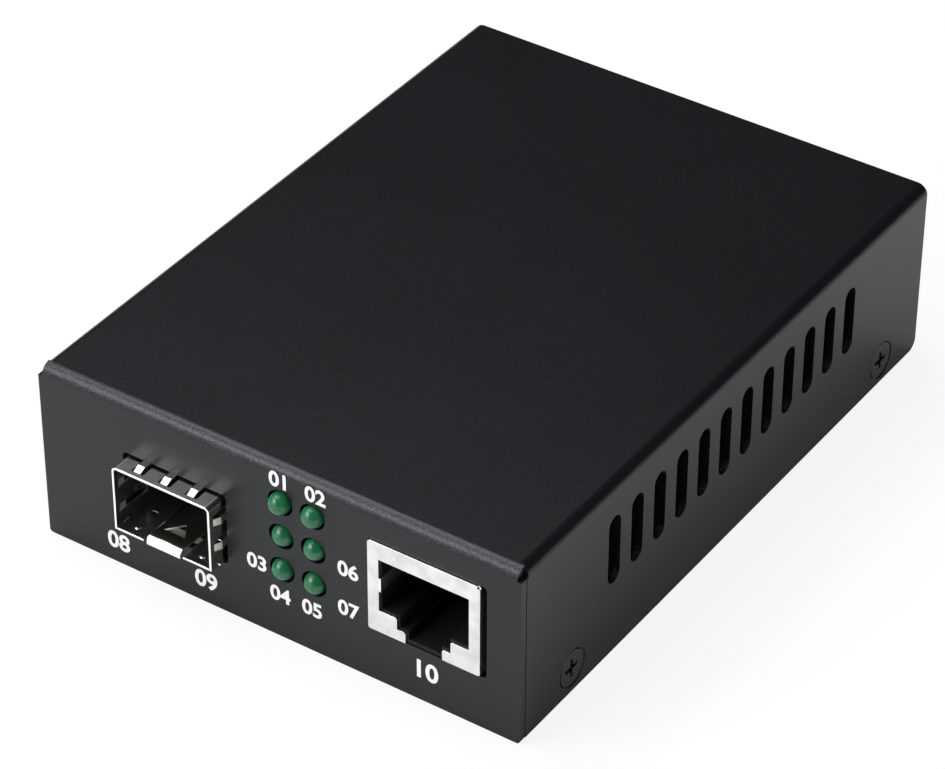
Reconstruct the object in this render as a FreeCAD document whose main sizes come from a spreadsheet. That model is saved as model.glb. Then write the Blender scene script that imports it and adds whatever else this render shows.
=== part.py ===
# Fibre media converter: a small black sheet-metal box that joins a copper network socket to a
# pluggable optical module cage, with six status lamps on its front and a power socket behind.
#
# Frame: origin in the middle of the underside, +X to the right seen from the front,
# +Y from the front panel to the back, +Z up. Millimetres.
import FreeCAD, Part
import os
import Sketcher
from FreeCAD import Vector

doc = FreeCAD.newDocument("fibre_media_converter")


# ---------------------------------------------------------------- driving dimensions

DRIVING_SIZES = [
    # folded case
    ("case_width", 70.0, "across the two side flaps"),
    ("case_depth", 94.0, "front panel to the rear edge of the cover"),
    ("case_height", 25.8, "underside to the top plate"),
    ("sheet", 1.0, "thickness of the cover's and tray's steel"),
    ("bend_radius", 1.5, "outer radius of every fold of the case"),
    ("flap_lift", 0.25, "side flaps' lower edge above the underside"),
    ("bend_relief", 0.6, "front fold stops this short of each side"),
    ("flap_corner", 0.5, "radius of the front panel's lower corners"),
    ("corner_seam", 0.15, "front panel's back to the side flaps"),
    ("side_corner", 1.5, "radius of the side flaps' rear lower corners"),
    ("nest_gap", 0.15, "play between the cover and the tray inside it"),
    ("rear_inset", 0.3, "rear panel behind the cover's rear edge"),
    ("flange_height", 7.5, "tray's side flanges above the underside"),
    # side vents
    ("vent_count", 12, "slots on each side"),
    ("vent_pitch", 5.0, "slot to slot"),
    ("vent_width", 2.6, "slot width"),
    ("vent_length", 10.0, "slot height over its round ends"),
    ("vent_height", 15.95, "slot centre above the underside"),
    ("vent_middle", 47.3, "middle of the row from the front panel"),
    # countersunk cover screws
    ("screw_front", 11.2, "front pair from the front panel"),
    ("screw_rear", 9.4, "rear pair from the cover's rear edge"),
    ("screw_height", 3.7, "screws above the underside"),
    ("screw_head", 5.0, "head diameter"),
    ("screw_ring", 0.25, "countersink round the head"),
    ("screw_shank", 2.9, "shank diameter"),
    ("screw_length", 4.0, "overall length"),
    ("screw_gap", 0.08, "play round each screw"),
    ("recess_depth", 0.9, "depth of the cross recess"),
    ("recess_reach", 1.35, "half the cross recess's length"),
    ("recess_width", 0.62, "width of each arm of the cross"),
    # circuit board
    ("board_thickness", 1.6, "laminate"),
    ("board_side_gap", 0.8, "board to each side flange"),
    ("board_front_gap", 0.8, "board to the front panel"),
    ("board_rear_gap", 0.8, "board to the rear panel"),
    ("board_corner", 1.5, "corner radius"),
    ("standoff_height", 5.3, "tray to board"),
    ("standoff_width", 5.5, "standoff diameter"),
    ("standoff_spigot", 4.0, "diameter pressed into the tray"),
    ("standoff_bore", 3.0, "thread diameter"),
    ("standoff_inset", 4.0, "standoff centre from the board's side edge"),
    ("standoff_clear", 2.5, "front screw heads behind the copper socket"),
    ("standoff_rear", 15.5, "rear pair from the cover's rear edge"),
    ("board_screw_head", 5.4, "pan head diameter"),
    ("board_screw_rise", 1.9, "pan head height"),
    ("board_screw_length", 5.0, "below the head"),
    # optical module cage
    ("cage_edge", 20.25, "centre of the cage from the left side"),
    ("cage_width", 14.6, "outside"),
    ("cage_height", 9.55, "outside"),
    ("cage_length", 48.7, "mouth to back"),
    ("cage_out", 2.8, "mouth in front of the panel"),
    ("cage_sheet", 0.3, "cage metal"),
    ("cage_lift", 0.25, "cage above the board"),
    ("cage_corner", 0.7, "outer radius of the cage's upper folds"),
    ("cage_side_gap", 0.43, "panel hole beside the cage"),
    ("cage_top_gap", 0.35, "panel hole over the cage"),
    ("cage_low_gap", 0.6, "panel hole under the cage"),
    ("finger_width", 1.05, "spring finger"),
    ("finger_sheet", 0.2, "spring finger thickness"),
    ("finger_window", 2.0, "width of the window round a finger"),
    ("finger_root", 0.75, "mouth to the root of a finger"),
    ("finger_tip_gap", 0.15, "finger's tip to the end of its window"),
    ("finger_shift", 0.15, "middle of a roof finger left of its window's"),
    ("finger_play", 0.05, "finger's crest to the edge of the panel hole"),
    ("finger_pitch_top", 4.0, "top fingers"),
    ("finger_pitch_side", 3.8, "side fingers"),
    ("finger_low", 3.15, "lower side finger above the cage's floor"),
    ("lance_length", 0.6, "small window in each wall, front to back"),
    ("lance_height", 0.9, "small window, up and down"),
    ("lance_back", 5.5, "mouth to the small windows"),
    ("lance_low", 3.0, "small windows above the cage's floor"),
    ("cage_pin_count", 4, "press-fit pins on each side"),
    ("cage_pin_pitch", 10.0, "pin to pin"),
    ("cage_pin_first", 8.0, "mouth to the first pin"),
    ("cage_pin_width", 0.8, "pin width"),
    ("pin_through", 0.7, "soldered pins under the board"),
    ("pin_gap", 0.12, "play round a pin in its hole"),
    ("floor_gap", 0.05, "cage floor inside the cage walls"),
    ("key_back", 1.85, "mouth to the keys that lock the floor in the walls"),
    ("key_width", 0.7, "key, front to back"),
    ("key_out", 0.2, "key outside the wall"),
    ("tongue_width", 5.05, "latch tongue in the cage's floor"),
    ("tongue_shift", 0.2, "tongue's middle right of the cage's"),
    ("tongue_length", 9.0, "mouth to the root of the tongue"),
    ("tongue_opening", 5.95, "opening in the floor round the tongue"),
    ("tongue_rise", 0.85, "front of the tongue above the floor"),
    ("latch_width", 3.2, "base of the triangular latch hole"),
    ("latch_depth", 2.35, "height of the latch hole"),
    ("latch_start", 2.3, "mouth to the latch hole"),
    ("lip_back", 0.75, "mouth to the bend of the curled lip"),
    ("lip_out", 0.2, "curled lip in front of the mouth"),
    ("dimple_reach", 4.9, "dimples from the cage's middle"),
    ("dimple_back", 1.55, "mouth to the dimples"),
    ("dimple_width", 0.9, "dimple diameter"),
    ("dimple_rise", 0.12, "dimple above the floor"),
    ("stop_back", 4.4, "mouth to the small windows in the floor"),
    ("stop_length", 0.7, "small floor window, front to back"),
    ("stop_width", 0.9, "small floor window, across"),
    # edge connector inside the cage
    ("edge_back_gap", 4.7, "connector to the cage's back"),
    ("edge_depth", 7.0, "front to back"),
    ("edge_width", 12.4, "across"),
    ("edge_height", 5.6, "above the board"),
    ("edge_slot_width", 10.6, "slot for the module's card edge"),
    ("edge_slot_height", 1.7, "slot opening"),
    ("edge_slot_low", 2.3, "slot above the board"),
    ("edge_contact_count", 10, "contacts in each row"),
    ("edge_contact_pitch", 0.8, "contact to contact"),
    ("edge_contact_width", 0.35, "across"),
    ("edge_contact_sheet", 0.2, "thickness"),
    # copper network socket
    ("jack_edge", 13.4, "centre of the socket from the right side"),
    ("jack_width", 15.8, "shield outside"),
    ("jack_height", 13.4, "shield above the board"),
    ("jack_depth", 16.0, "shield front to back"),
    ("jack_out", 0.25, "shield in front of the panel"),
    ("jack_sheet", 0.3, "shield metal"),
    ("jack_corner", 0.5, "outer radius of the shield's upper folds"),
    ("jack_foot", 0.3, "radius of the shield's lower corners"),
    ("jack_relief", 0.4, "notch where the front folds meet"),
    ("jack_fit", 0.05, "housing inside its shield"),
    ("jack_gap_left", 0.1, "panel hole left of the shield"),
    ("jack_gap_right", 0.8, "panel hole right of the shield"),
    ("jack_gap_top", 0.12, "panel hole over the shield"),
    ("jack_gap_low", 0.12, "panel hole under the shield"),
    ("jack_hole_corner", 0.6, "panel hole corner radius"),
    ("window_width", 12.72, "shield opening"),
    ("window_corner", 0.28, "radius of the opening's stepped corners"),
    ("window_top", 10.95, "top of the opening above the board"),
    ("window_low", 3.25, "shoulder of the opening above the board"),
    ("step_width", 7.6, "first step of the latch notch"),
    ("step_low", 1.55, "first step above the board"),
    ("notch_width", 5.2, "latch notch through the shield's lower edge"),
    ("cavity_inset", 0.25, "housing's cavity inside the shield's opening"),
    ("cavity_depth", 11.5, "plug cavity"),
    ("notch_floor", 0.55, "housing under the latch notch"),
    ("insert_width", 9.0, "contact insert over the cavity"),
    ("insert_height", 1.3, "contact insert over the cavity"),
    ("insert_back", 1.5, "housing's face to the insert"),
    ("insert_fit", 0.05, "play round the insert"),
    ("wire_count", 8, "spring contacts"),
    ("wire_pitch", 1.02, "contact to contact"),
    ("wire_width", 0.4, "contact wire"),
    ("wire_groove", 0.56, "comb groove for a wire"),
    ("wire_drop", 2.2, "contact tips under the cavity's roof"),
    ("wire_tail", 0.45, "first row of tails behind the housing"),
    ("wire_row_pitch", 1.3, "first to second row of tails"),
    ("tab_width", 1.2, "shield's solder tabs"),
    ("tab_from_front", 8.9, "panel face to the solder tabs"),
    ("ear_low", 6.1, "shield's side spring above the board"),
    ("ear_height", 2.0, "side spring, up and down"),
    ("ear_length", 5.0, "side spring, front to back"),
    ("ear_in", 0.3, "side spring past the opening's edge"),
    # status lamps
    ("lamp_x", 3.40, "middle between the two columns"),
    ("lamp_column_pitch", 4.65, "column to column"),
    ("lamp_low", 2.65, "lowest row above the board"),
    ("lamp_top", 5.09, "highest row below the top plate"),
    ("lamp_hole", 3.6, "panel hole diameter"),
    ("lamp_width", 2.9, "lens diameter"),
    ("lamp_flange", 3.4, "flange diameter"),
    ("lamp_flange_length", 1.0, "flange thickness"),
    ("lamp_length", 5.3, "flange to the tip of the dome"),
    ("lamp_out_left_low", 1.15, "dome in front of the panel, hand-set lamp by lamp"),
    ("lamp_out_left_middle", 0.95, "dome in front of the panel"),
    ("lamp_out_left_high", 1.55, "dome in front of the panel"),
    ("lamp_out_right_low", 1.1, "dome in front of the panel"),
    ("lamp_out_right_middle", 1.0, "dome in front of the panel"),
    ("lamp_out_right_high", 1.35, "dome in front of the panel"),
    ("holder_gap", 0.3, "holder behind the panel"),
    ("holder_width", 4.4, "across one column"),
    ("holder_depth", 3.9, "front to back"),
    ("holder_cap", 2.4, "holder above the top row"),
    ("holder_fit", 0.05, "play round a lamp"),
    ("lead_width", 0.45, "square lead"),
    ("lead_pitch", 2.54, "lead to lead"),
    ("lead_back", 0.7, "holder to the lowest row's bent leads"),
    ("lead_step", 1.5, "each row's leads bend this much further back"),
    # power socket
    ("power_edge", 15.0, "centre of the socket from the left side"),
    ("power_gap", 0.2, "socket face behind the rear panel"),
    ("power_width", 9.0, "across"),
    ("power_height", 11.0, "front block above the board"),
    ("power_depth", 14.0, "front to back"),
    ("power_block", 3.5, "thickness of the front block"),
    ("power_axis", 6.5, "axis above the board"),
    ("power_bore", 6.4, "bore diameter"),
    ("power_bore_depth", 9.6, "bore depth"),
    ("power_pin", 2.0, "centre pin diameter"),
    ("power_pin_root", 2.6, "centre pin's moulded-in root"),
    ("power_pin_back", 0.8, "pin tip behind the socket's face"),
    ("power_hole", 8.4, "rear panel hole diameter"),
    ("power_tail_width", 2.0, "solder tails across"),
    ("power_tail_sheet", 0.4, "spring and terminal metal"),
    ("power_spring_back", 7.6, "face to the spring's leg"),
    # parts soldered on the board
    ("chip_x", 6.0, "converter chip"),
    ("chip_y", 6.0, "converter chip"),
    ("chip_side", 10.0, "converter chip"),
    ("chip_height", 0.85, "converter chip"),
    ("memory_x", 24.0, "memory chip"),
    ("memory_y", 8.0, "memory chip"),
    ("memory_length", 4.9, "memory chip"),
    ("memory_width", 3.9, "memory chip"),
    ("memory_height", 1.5, "memory chip"),
    ("transformer_x", 17.0, "line transformer"),
    ("transformer_y", -14.0, "line transformer"),
    ("transformer_length", 12.7, "line transformer"),
    ("transformer_width", 7.1, "line transformer"),
    ("transformer_height", 5.1, "line transformer"),
    ("transformer_pin_count", 8, "pins on each long side"),
    ("transformer_pin_pitch", 1.27, "pin to pin"),
    ("crystal_x", 1.0, "crystal"),
    ("crystal_y", -8.0, "crystal"),
    ("crystal_length", 11.0, "crystal"),
    ("crystal_width", 4.6, "crystal"),
    ("crystal_height", 3.5, "crystal"),
    ("regulator_x", -12.0, "voltage regulator"),
    ("regulator_back", 27.0, "voltage regulator from the cover's rear edge"),
    ("regulator_length", 6.5, "voltage regulator"),
    ("regulator_width", 3.5, "voltage regulator"),
    ("regulator_height", 1.6, "voltage regulator"),
    ("coil_x", -8.0, "power inductor"),
    ("coil_back", 16.0, "power inductor from the cover's rear edge"),
    ("coil_width", 7.0, "power inductor"),
    ("coil_waist", 5.0, "power inductor"),
    ("coil_height", 4.4, "power inductor"),
    ("coil_cheek", 0.9, "power inductor's end plates"),
    ("can_x", 6.0, "middle of the two filter capacitors"),
    ("can_back", 13.0, "filter capacitors from the cover's rear edge"),
    ("can_pitch", 9.0, "capacitor to capacitor"),
    ("can_width", 6.3, "can diameter"),
    ("can_height", 7.0, "can with its base"),
    ("can_base", 6.6, "square base"),
    ("can_base_height", 0.9, "square base"),
    ("bead_length", 1.6, "chip resistors and capacitors"),
    ("bead_width", 0.8, "chip resistors and capacitors"),
    ("resistor_height", 0.45, "chip resistors"),
    ("capacitor_height", 0.8, "chip capacitors"),
    ("bead_pitch", 3.0, "chip to chip"),
    ("bead_rows", 6, "chips in a row"),
    ("resistor_x", -2.0, "first chip resistor"),
    ("resistor_y", 14.0, "first chip resistor"),
    ("capacitor_x", 14.0, "first chip capacitor"),
    ("capacitor_y", 22.0, "first chip capacitor"),
]


class Size:
    """A length FreeCAD works out: text is its expression, value what it comes to now."""

    def __init__(self, text, value):
        self.text = text
        self.value = float(value)

    def joined(self, sign, other, value):
        return Size(f"({self.text} {sign} {other.text})", value)

    def __add__(self, other):
        other = as_size(other)
        return self.joined("+", other, self.value + other.value)

    def __sub__(self, other):
        other = as_size(other)
        return self.joined("-", other, self.value - other.value)

    def __mul__(self, other):
        other = as_size(other)
        return self.joined("*", other, self.value * other.value)

    def __truediv__(self, other):
        other = as_size(other)
        return self.joined("/", other, self.value / other.value)

    def __rsub__(self, other):
        return as_size(other) - self

    def __neg__(self):
        return self * -1

    __radd__ = __add__
    __rmul__ = __mul__


def as_size(number):
    return number if isinstance(number, Size) else Size(repr(float(number)), number)


class SizeSheet:
    """Writes the driving dimensions to a spreadsheet and offers each one by its name."""

    def __init__(self, rows):
        table = doc.addObject("Spreadsheet::Sheet", "Sizes")
        for line, (name, value, meaning) in enumerate(rows, start=1):
            table.set(f"A{line}", name)
            table.set(f"B{line}", str(value))
            table.set(f"C{line}", meaning)
            table.setAlias(f"B{line}", name)
            setattr(self, name, Size(f"Sizes.{name}", value))
        doc.recompute()


size = SizeSheet(DRIVING_SIZES)


# ---------------------------------------------------------------- planes shared by the pieces

front = -size.case_depth / 2
rear = size.case_depth / 2
side = size.case_width / 2
panel_back = front + size.sheet
fold = size.bend_radius
inner_fold = fold - size.sheet

tray_side = side - size.sheet - size.nest_gap
tray_front = panel_back + size.nest_gap
tray_rear = rear - size.rear_inset
tray_top = size.case_height - size.sheet - size.nest_gap

board_under = size.sheet + size.standoff_height
board_top = board_under + size.board_thickness
board_half = tray_side - size.sheet - size.board_side_gap
board_front = panel_back + size.board_front_gap
board_rear = tray_rear - size.sheet - size.board_rear_gap
solder_end = board_under - size.pin_through
screw_spacing = size.case_depth - size.screw_front - size.screw_rear

cage_x = size.cage_edge - side
cage_half = size.cage_width / 2
cage_mouth = front - size.cage_out
cage_floor = board_top + size.cage_lift
cage_roof = cage_floor + size.cage_height
cage_back = cage_mouth + size.cage_length
edge_front = size.cage_length - size.edge_back_gap - size.edge_depth

jack_x = side - size.jack_edge
jack_half = size.jack_width / 2
jack_face = front - size.jack_out
jack_back = jack_face + size.jack_depth
jack_roof = board_top + size.jack_height
housing_front = jack_face + size.jack_sheet + size.jack_fit
housing_back = jack_back - size.jack_sheet - size.wire_tail - size.wire_row_pitch - size.wire_width - 0.3

holder_front = panel_back + size.holder_gap
holder_back = holder_front + size.holder_depth
LEVELS = ("low", "middle", "high")
SIDES = {"left": -1, "right": 1}
lamp_columns = {name: size.lamp_x + size.lamp_column_pitch / 2 * sign for name, sign in SIDES.items()}
lamp_row_pitch = (size.case_height - size.lamp_top - board_top - size.lamp_low) / 2
lamp_rows = [board_top + size.lamp_low + lamp_row_pitch * level for level in range(3)]

standoff_x = board_half - size.standoff_inset
standoff_front_y = jack_back + size.standoff_clear + size.board_screw_head / 2
standoff_rear_y = rear - size.standoff_rear

power_x = size.power_edge - side
power_face = tray_rear - size.sheet - size.power_gap


# ---------------------------------------------------------------- sketching and features

ACROSS = {"XY_Plane": 1, "XZ_Plane": -1, "YZ_Plane": 1}  # a sketch's normal along its world axis


def bind(thing, path, value):
    thing.setExpression(path, as_size(value).text)


def origin_feature(body, role):
    return next(item for item in body.Origin.OriginFeatures if item.Role == role)


def new_body(label, x=0, y=0, z=0):
    """An empty body, placed at x, y, z."""
    body = doc.addObject("PartDesign::Body", label)
    body.Label = label
    for axis, value in zip("xyz", (x, y, z)):
        if isinstance(value, Size):
            bind(body, f"Placement.Base.{axis}", value)
    return body


def new_sketch(body, plane, at=0, shift=(0, 0)):
    """A sketch on one of the body's origin planes, moved to 'at' along the plane's axis."""
    sketch = body.newObject("Sketcher::SketchObject", f"{body.Name}_outline")
    sketch.AttachmentSupport = (origin_feature(body, plane), [""])
    sketch.MapMode = "FlatFace"
    bind(sketch, "AttachmentOffset.Base.x", shift[0])
    bind(sketch, "AttachmentOffset.Base.y", shift[1])
    bind(sketch, "AttachmentOffset.Base.z", as_size(at) * ACROSS[plane])
    return sketch


def hold(sketch, kind, geometry, point, value):
    """Ties a point's distance from the sketch's origin to a size."""
    value = as_size(value)
    index = sketch.addConstraint(Sketcher.Constraint(kind, -1, 1, geometry, point, value.value))
    bind(sketch, f"Constraints[{index}]", value)


def hold_point(sketch, geometry, point, place):
    hold(sketch, "DistanceX", geometry, point, place[0])
    hold(sketch, "DistanceY", geometry, point, place[1])


def hold_radius(sketch, geometry, radius):
    radius = as_size(radius)
    index = sketch.addConstraint(Sketcher.Constraint("Radius", geometry, radius.value))
    bind(sketch, f"Constraints[{index}]", radius)


def flat(place):
    return Vector(as_size(place[0]).value, as_size(place[1]).value, 0)


def draw_line(sketch, start, end):
    line = sketch.addGeometry(Part.LineSegment(flat(start), flat(end)))
    hold_point(sketch, line, 1, start)
    hold_point(sketch, line, 2, end)
    return line


def draw_arc(sketch, start, end, centre, radius):
    """The shorter arc between two held line ends; returns it with its start and end in order."""
    middle = flat(centre)
    toward_start = flat(start) - middle
    toward_end = flat(end) - middle
    if toward_start.cross(toward_end).z < 0:
        toward_start, toward_end = toward_end, toward_start
    bisector = (toward_start + toward_end).normalize() * as_size(radius).value
    arc = Part.Arc(middle + toward_start, middle + bisector, middle + toward_end)
    index = sketch.addGeometry(arc)
    hold_radius(sketch, index, radius)
    return index


def join(sketch, line, line_point, arc, place):
    """Makes a line's end and the nearer end of an arc one point."""
    ends = {point: sketch.getPoint(arc, point) for point in (1, 2)}
    nearer = min(ends, key=lambda point: (ends[point] - flat(place)).Length)
    sketch.addConstraint(Sketcher.Constraint("Coincident", line, line_point, arc, nearer))


def outline(sketch, corners):
    """A closed outline. A corner is (x, y), or (x, y, radius) between two square edges."""
    count = len(corners)
    places = [(as_size(corner[0]), as_size(corner[1])) for corner in corners]
    radii = [as_size(corner[2]) if len(corner) > 2 else None for corner in corners]

    def heading(index):
        run = flat(places[(index + 1) % count]) - flat(places[index])
        return run.normalize()

    leaves, arrives = [], []
    for index, (x, y) in enumerate(places):
        if radii[index] is None:
            arrives.append((x, y))
            leaves.append((x, y))
            continue
        before, after = heading(index - 1), heading(index)
        arrives.append((x - radii[index] * round(before.x), y - radii[index] * round(before.y)))
        leaves.append((x + radii[index] * round(after.x), y + radii[index] * round(after.y)))

    lines = [draw_line(sketch, leaves[index], arrives[(index + 1) % count]) for index in range(count)]
    for index in range(count):
        if radii[index] is None:
            continue
        before, after = heading(index - 1), heading(index)
        centre = (
            arrives[index][0] + radii[index] * round(after.x),
            arrives[index][1] + radii[index] * round(after.y),
        )
        arc = draw_arc(sketch, arrives[index], leaves[index], centre, radii[index])
        join(sketch, lines[index - 1], 2, arc, arrives[index])
        join(sketch, lines[index], 1, arc, leaves[index])


def rectangle(sketch, x0, x1, y0, y1, radius=None):
    corners = [(x0, y0), (x1, y0), (x1, y1), (x0, y1)]
    if radius is not None:
        corners = [(x, y, radius) for x, y in corners]
    outline(sketch, corners)


def circle(sketch, x, y, radius):
    ring = Part.Circle(flat((x, y)), Vector(0, 0, 1), as_size(radius).value)
    index = sketch.addGeometry(ring)
    hold_point(sketch, index, 3, (x, y))
    hold_radius(sketch, index, radius)


def slot(sketch, x, y, width, length):
    """An upright slot with round ends, centred on x, y."""
    x, y, radius = as_size(x), as_size(y), as_size(width) / 2
    reach = as_size(length) / 2 - radius
    left = draw_line(sketch, (x - radius, y + reach), (x - radius, y - reach))
    right = draw_line(sketch, (x + radius, y - reach), (x + radius, y + reach))
    for line, end, other, start, centre_y, bulge in (
        (left, (x - radius, y - reach), right, (x + radius, y - reach), y - reach, -1),
        (right, (x + radius, y + reach), left, (x - radius, y + reach), y + reach, 1),
    ):
        middle = flat((x, centre_y))
        top = middle + Vector(0, bulge * radius.value, 0)
        arc = sketch.addGeometry(Part.Arc(flat(end), top, flat(start)))
        join(sketch, line, 2, arc, end)
        join(sketch, other, 1, arc, start)
        hold(sketch, "DistanceY", arc, 3, centre_y)


def quarter_fold(sketch, centre, outward, radius, thickness):
    """The section of a square fold: two arcs about the centre, closed by the sheet's two ends."""
    (x, y), (dx, dy) = centre, outward
    inner = radius - thickness
    foot = draw_line(sketch, (x + dx * radius, y), (x + dx * inner, y))
    head = draw_line(sketch, (x, y + dy * inner), (x, y + dy * radius))
    for line, point, other, other_point, arc_radius in (
        (foot, 2, head, 1, inner),
        (head, 2, foot, 1, radius),
    ):
        start = (x + dx * arc_radius, y)
        end = (x, y + dy * arc_radius)
        arc = draw_arc(sketch, start, end, centre, arc_radius)
        line_place = start if line is foot else end
        other_place = end if line is foot else start
        join(sketch, line, point, arc, line_place)
        join(sketch, other, other_point, arc, other_place)


def pad(body, sketch, length, towards=1, both=False):
    """Adds the sketch's outline, along its world axis or equally to both sides."""
    feature = body.newObject("PartDesign::Pad", f"{body.Name}_pad")
    feature.Profile = sketch
    bind(feature, "Length", length)
    feature.SideType = "Symmetric" if both else "One side"
    feature.Reversed = towards != sketch_sign(sketch)
    return feature


def pocket(body, sketch, depth, towards=1, both=False):
    """Removes the sketch's outline, along its world axis or equally to both sides."""
    feature = body.newObject("PartDesign::Pocket", f"{body.Name}_pocket")
    feature.Profile = sketch
    bind(feature, "Length", depth)
    feature.SideType = "Symmetric" if both else "One side"
    feature.Reversed = towards == sketch_sign(sketch)
    return feature


def sketch_sign(sketch):
    return ACROSS[sketch.AttachmentSupport[0][0].Role]


def turn(body, sketch, axis, kind="PartDesign::Revolution"):
    """Turns the sketch a full circle about its own H_Axis or V_Axis."""
    feature = body.newObject(kind, f"{body.Name}_turned")
    feature.Profile = sketch
    feature.ReferenceAxis = (sketch, [axis])
    feature.Angle = 360
    return feature


def set_row(feature, body, axis, pitch, count):
    feature.Direction = (origin_feature(body, axis), [""])
    feature.Mode = "Spacing"
    bind(feature, "Offset", pitch)
    bind(feature, "Occurrences", count)


def row(body, originals, axis, pitch, count):
    """A straight row of the given features."""
    feature = body.newObject("PartDesign::LinearPattern", f"{body.Name}_row")
    feature.Originals = originals
    set_row(feature, body, axis, pitch, count)
    body.Tip = feature
    return feature


def grid(body, originals, rows, mirror=None):
    """Straight rows of the features, one inside the other, and their mirror image if asked."""
    feature = body.newObject("PartDesign::MultiTransform", f"{body.Name}_grid")
    feature.Originals = originals
    steps = []
    for axis, pitch, count in rows:
        step = body.newObject("PartDesign::LinearPattern", f"{body.Name}_step")
        set_row(step, body, axis, pitch, count)
        steps.append(step)
    if mirror:
        step = body.newObject("PartDesign::Mirrored", f"{body.Name}_mirror")
        step.MirrorPlane = (origin_feature(body, mirror), [""])
        steps.append(step)
    feature.Transformations = steps
    body.Tip = feature
    return feature


def edges_where(feature, test):
    """Names of the feature's edges whose vertices all pass the test."""
    doc.recompute()
    return [
        f"Edge{number}"
        for number, edge in enumerate(feature.Shape.Edges, start=1)
        if all(test(vertex.Point) for vertex in edge.Vertexes)
    ]


def round_edges(body, base, test, radius):
    feature = body.newObject("PartDesign::Fillet", f"{body.Name}_rounding")
    feature.Base = (base, edges_where(base, test))
    bind(feature, "Radius", radius)
    return feature


def at(value, wanted):
    return abs(value - as_size(wanted).value) < 1e-4


# ---------------------------------------------------------------- cover and tray


def screw_wells(body, depth):
    """Countersunk holes for the cover screws, through whatever the body has at both sides."""
    shift = (0, front + size.screw_front)
    sketch = new_sketch(body, "XY_Plane", size.screw_height, shift)
    mouth = size.screw_head / 2 + size.screw_ring
    bore = size.screw_shank / 2 + size.screw_gap
    for sign in (1, -1):
        outline(
            sketch,
            [
                (side * sign, 0),
                (side * sign, mouth),
                ((side - mouth + bore) * sign, bore),
                ((side - depth) * sign, bore),
                ((side - depth) * sign, 0),
            ],
        )
    wells = turn(body, sketch, "H_Axis", "PartDesign::Groove")
    return row(body, [wells], "Y_Axis", screw_spacing, 2)


def top_cover():
    """One folded sheet: top plate, both side flaps and the front panel with its openings."""
    body = new_body("top_cover")
    low, high = size.flap_lift, size.case_height
    gutter = new_sketch(body, "XZ_Plane", front + fold)
    outline(
        gutter,
        [
            (-side, low),
            (-side + size.sheet, low),
            (-side + size.sheet, high - size.sheet, inner_fold),
            (side - size.sheet, high - size.sheet, inner_fold),
            (side - size.sheet, low),
            (side, low),
            (side, high, fold),
            (-side, high, fold),
        ],
    )
    plate = pad(body, gutter, rear - front - fold)

    def rear_lower_corner(point):
        return at(point.y, rear) and at(point.z, low)

    round_edges(body, plate, rear_lower_corner, size.side_corner)

    flaps = new_sketch(body, "XZ_Plane", panel_back + size.corner_seam)
    rectangle(flaps, -side, -side + size.sheet, low, high - fold)
    rectangle(flaps, side - size.sheet, side, low, high - fold)
    pad(body, flaps, fold - size.sheet - size.corner_seam)

    bend = new_sketch(body, "YZ_Plane")
    quarter_fold(bend, (front + fold, high - fold), (-1, 1), fold, size.sheet)
    pad(body, bend, size.case_width - size.bend_relief * 2, both=True)

    panel = new_sketch(body, "XZ_Plane", front)
    outline(
        panel,
        [
            (-side, 0, size.flap_corner),
            (side, 0, size.flap_corner),
            (side, high - fold),
            (-side, high - fold),
        ],
    )
    pad(body, panel, size.sheet)

    ports = new_sketch(body, "XZ_Plane", front)
    rectangle(
        ports,
        cage_x - cage_half - size.cage_side_gap,
        cage_x + cage_half + size.cage_side_gap,
        cage_floor - size.cage_low_gap,
        cage_roof + size.cage_top_gap,
        size.cage_corner,
    )
    rectangle(
        ports,
        jack_x - jack_half - size.jack_gap_left,
        jack_x + jack_half + size.jack_gap_right,
        board_top - size.jack_gap_low,
        jack_roof + size.jack_gap_top,
        size.jack_hole_corner,
    )
    for x in lamp_columns.values():
        for z in lamp_rows:
            circle(ports, x, z, size.lamp_hole / 2)
    pocket(body, ports, size.sheet)

    vent = new_sketch(body, "YZ_Plane")
    first = front + size.vent_middle - size.vent_pitch * (size.vent_count - 1) / 2
    slot(vent, first, size.vent_height, size.vent_width, size.vent_length)
    vents = pocket(body, vent, size.case_width, both=True)
    row(body, [vents], "Y_Axis", size.vent_pitch, size.vent_count)

    screw_wells(body, size.sheet)
    return body


def base_tray():
    """One folded sheet: bottom, two side flanges the cover screws into, and the rear panel."""
    body = new_body("base_tray")
    channel = new_sketch(body, "XZ_Plane", tray_front)
    outline(
        channel,
        [
            (-tray_side, size.flange_height),
            (-tray_side, 0, fold),
            (tray_side, 0, fold),
            (tray_side, size.flange_height),
            (tray_side - size.sheet, size.flange_height),
            (tray_side - size.sheet, size.sheet, inner_fold),
            (-tray_side + size.sheet, size.sheet, inner_fold),
            (-tray_side + size.sheet, size.flange_height),
        ],
    )
    pad(body, channel, tray_rear - fold - tray_front)

    bend = new_sketch(body, "YZ_Plane")
    quarter_fold(bend, (tray_rear - fold, fold), (1, -1), fold, size.sheet)
    pad(body, bend, (tray_side - fold) * 2, both=True)

    panel = new_sketch(body, "XZ_Plane", tray_rear)
    rectangle(panel, -tray_side, tray_side, fold, tray_top)
    circle(panel, power_x, board_top + size.power_axis, size.power_hole / 2)
    pad(body, panel, size.sheet, towards=-1)

    spigots = new_sketch(body, "XY_Plane")
    for x in (-standoff_x, standoff_x):
        for y in (standoff_front_y, standoff_rear_y):
            circle(spigots, x, y, size.standoff_spigot / 2)
    pocket(body, spigots, size.sheet)

    screw_wells(body, size.sheet * 3)
    return body


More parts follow.
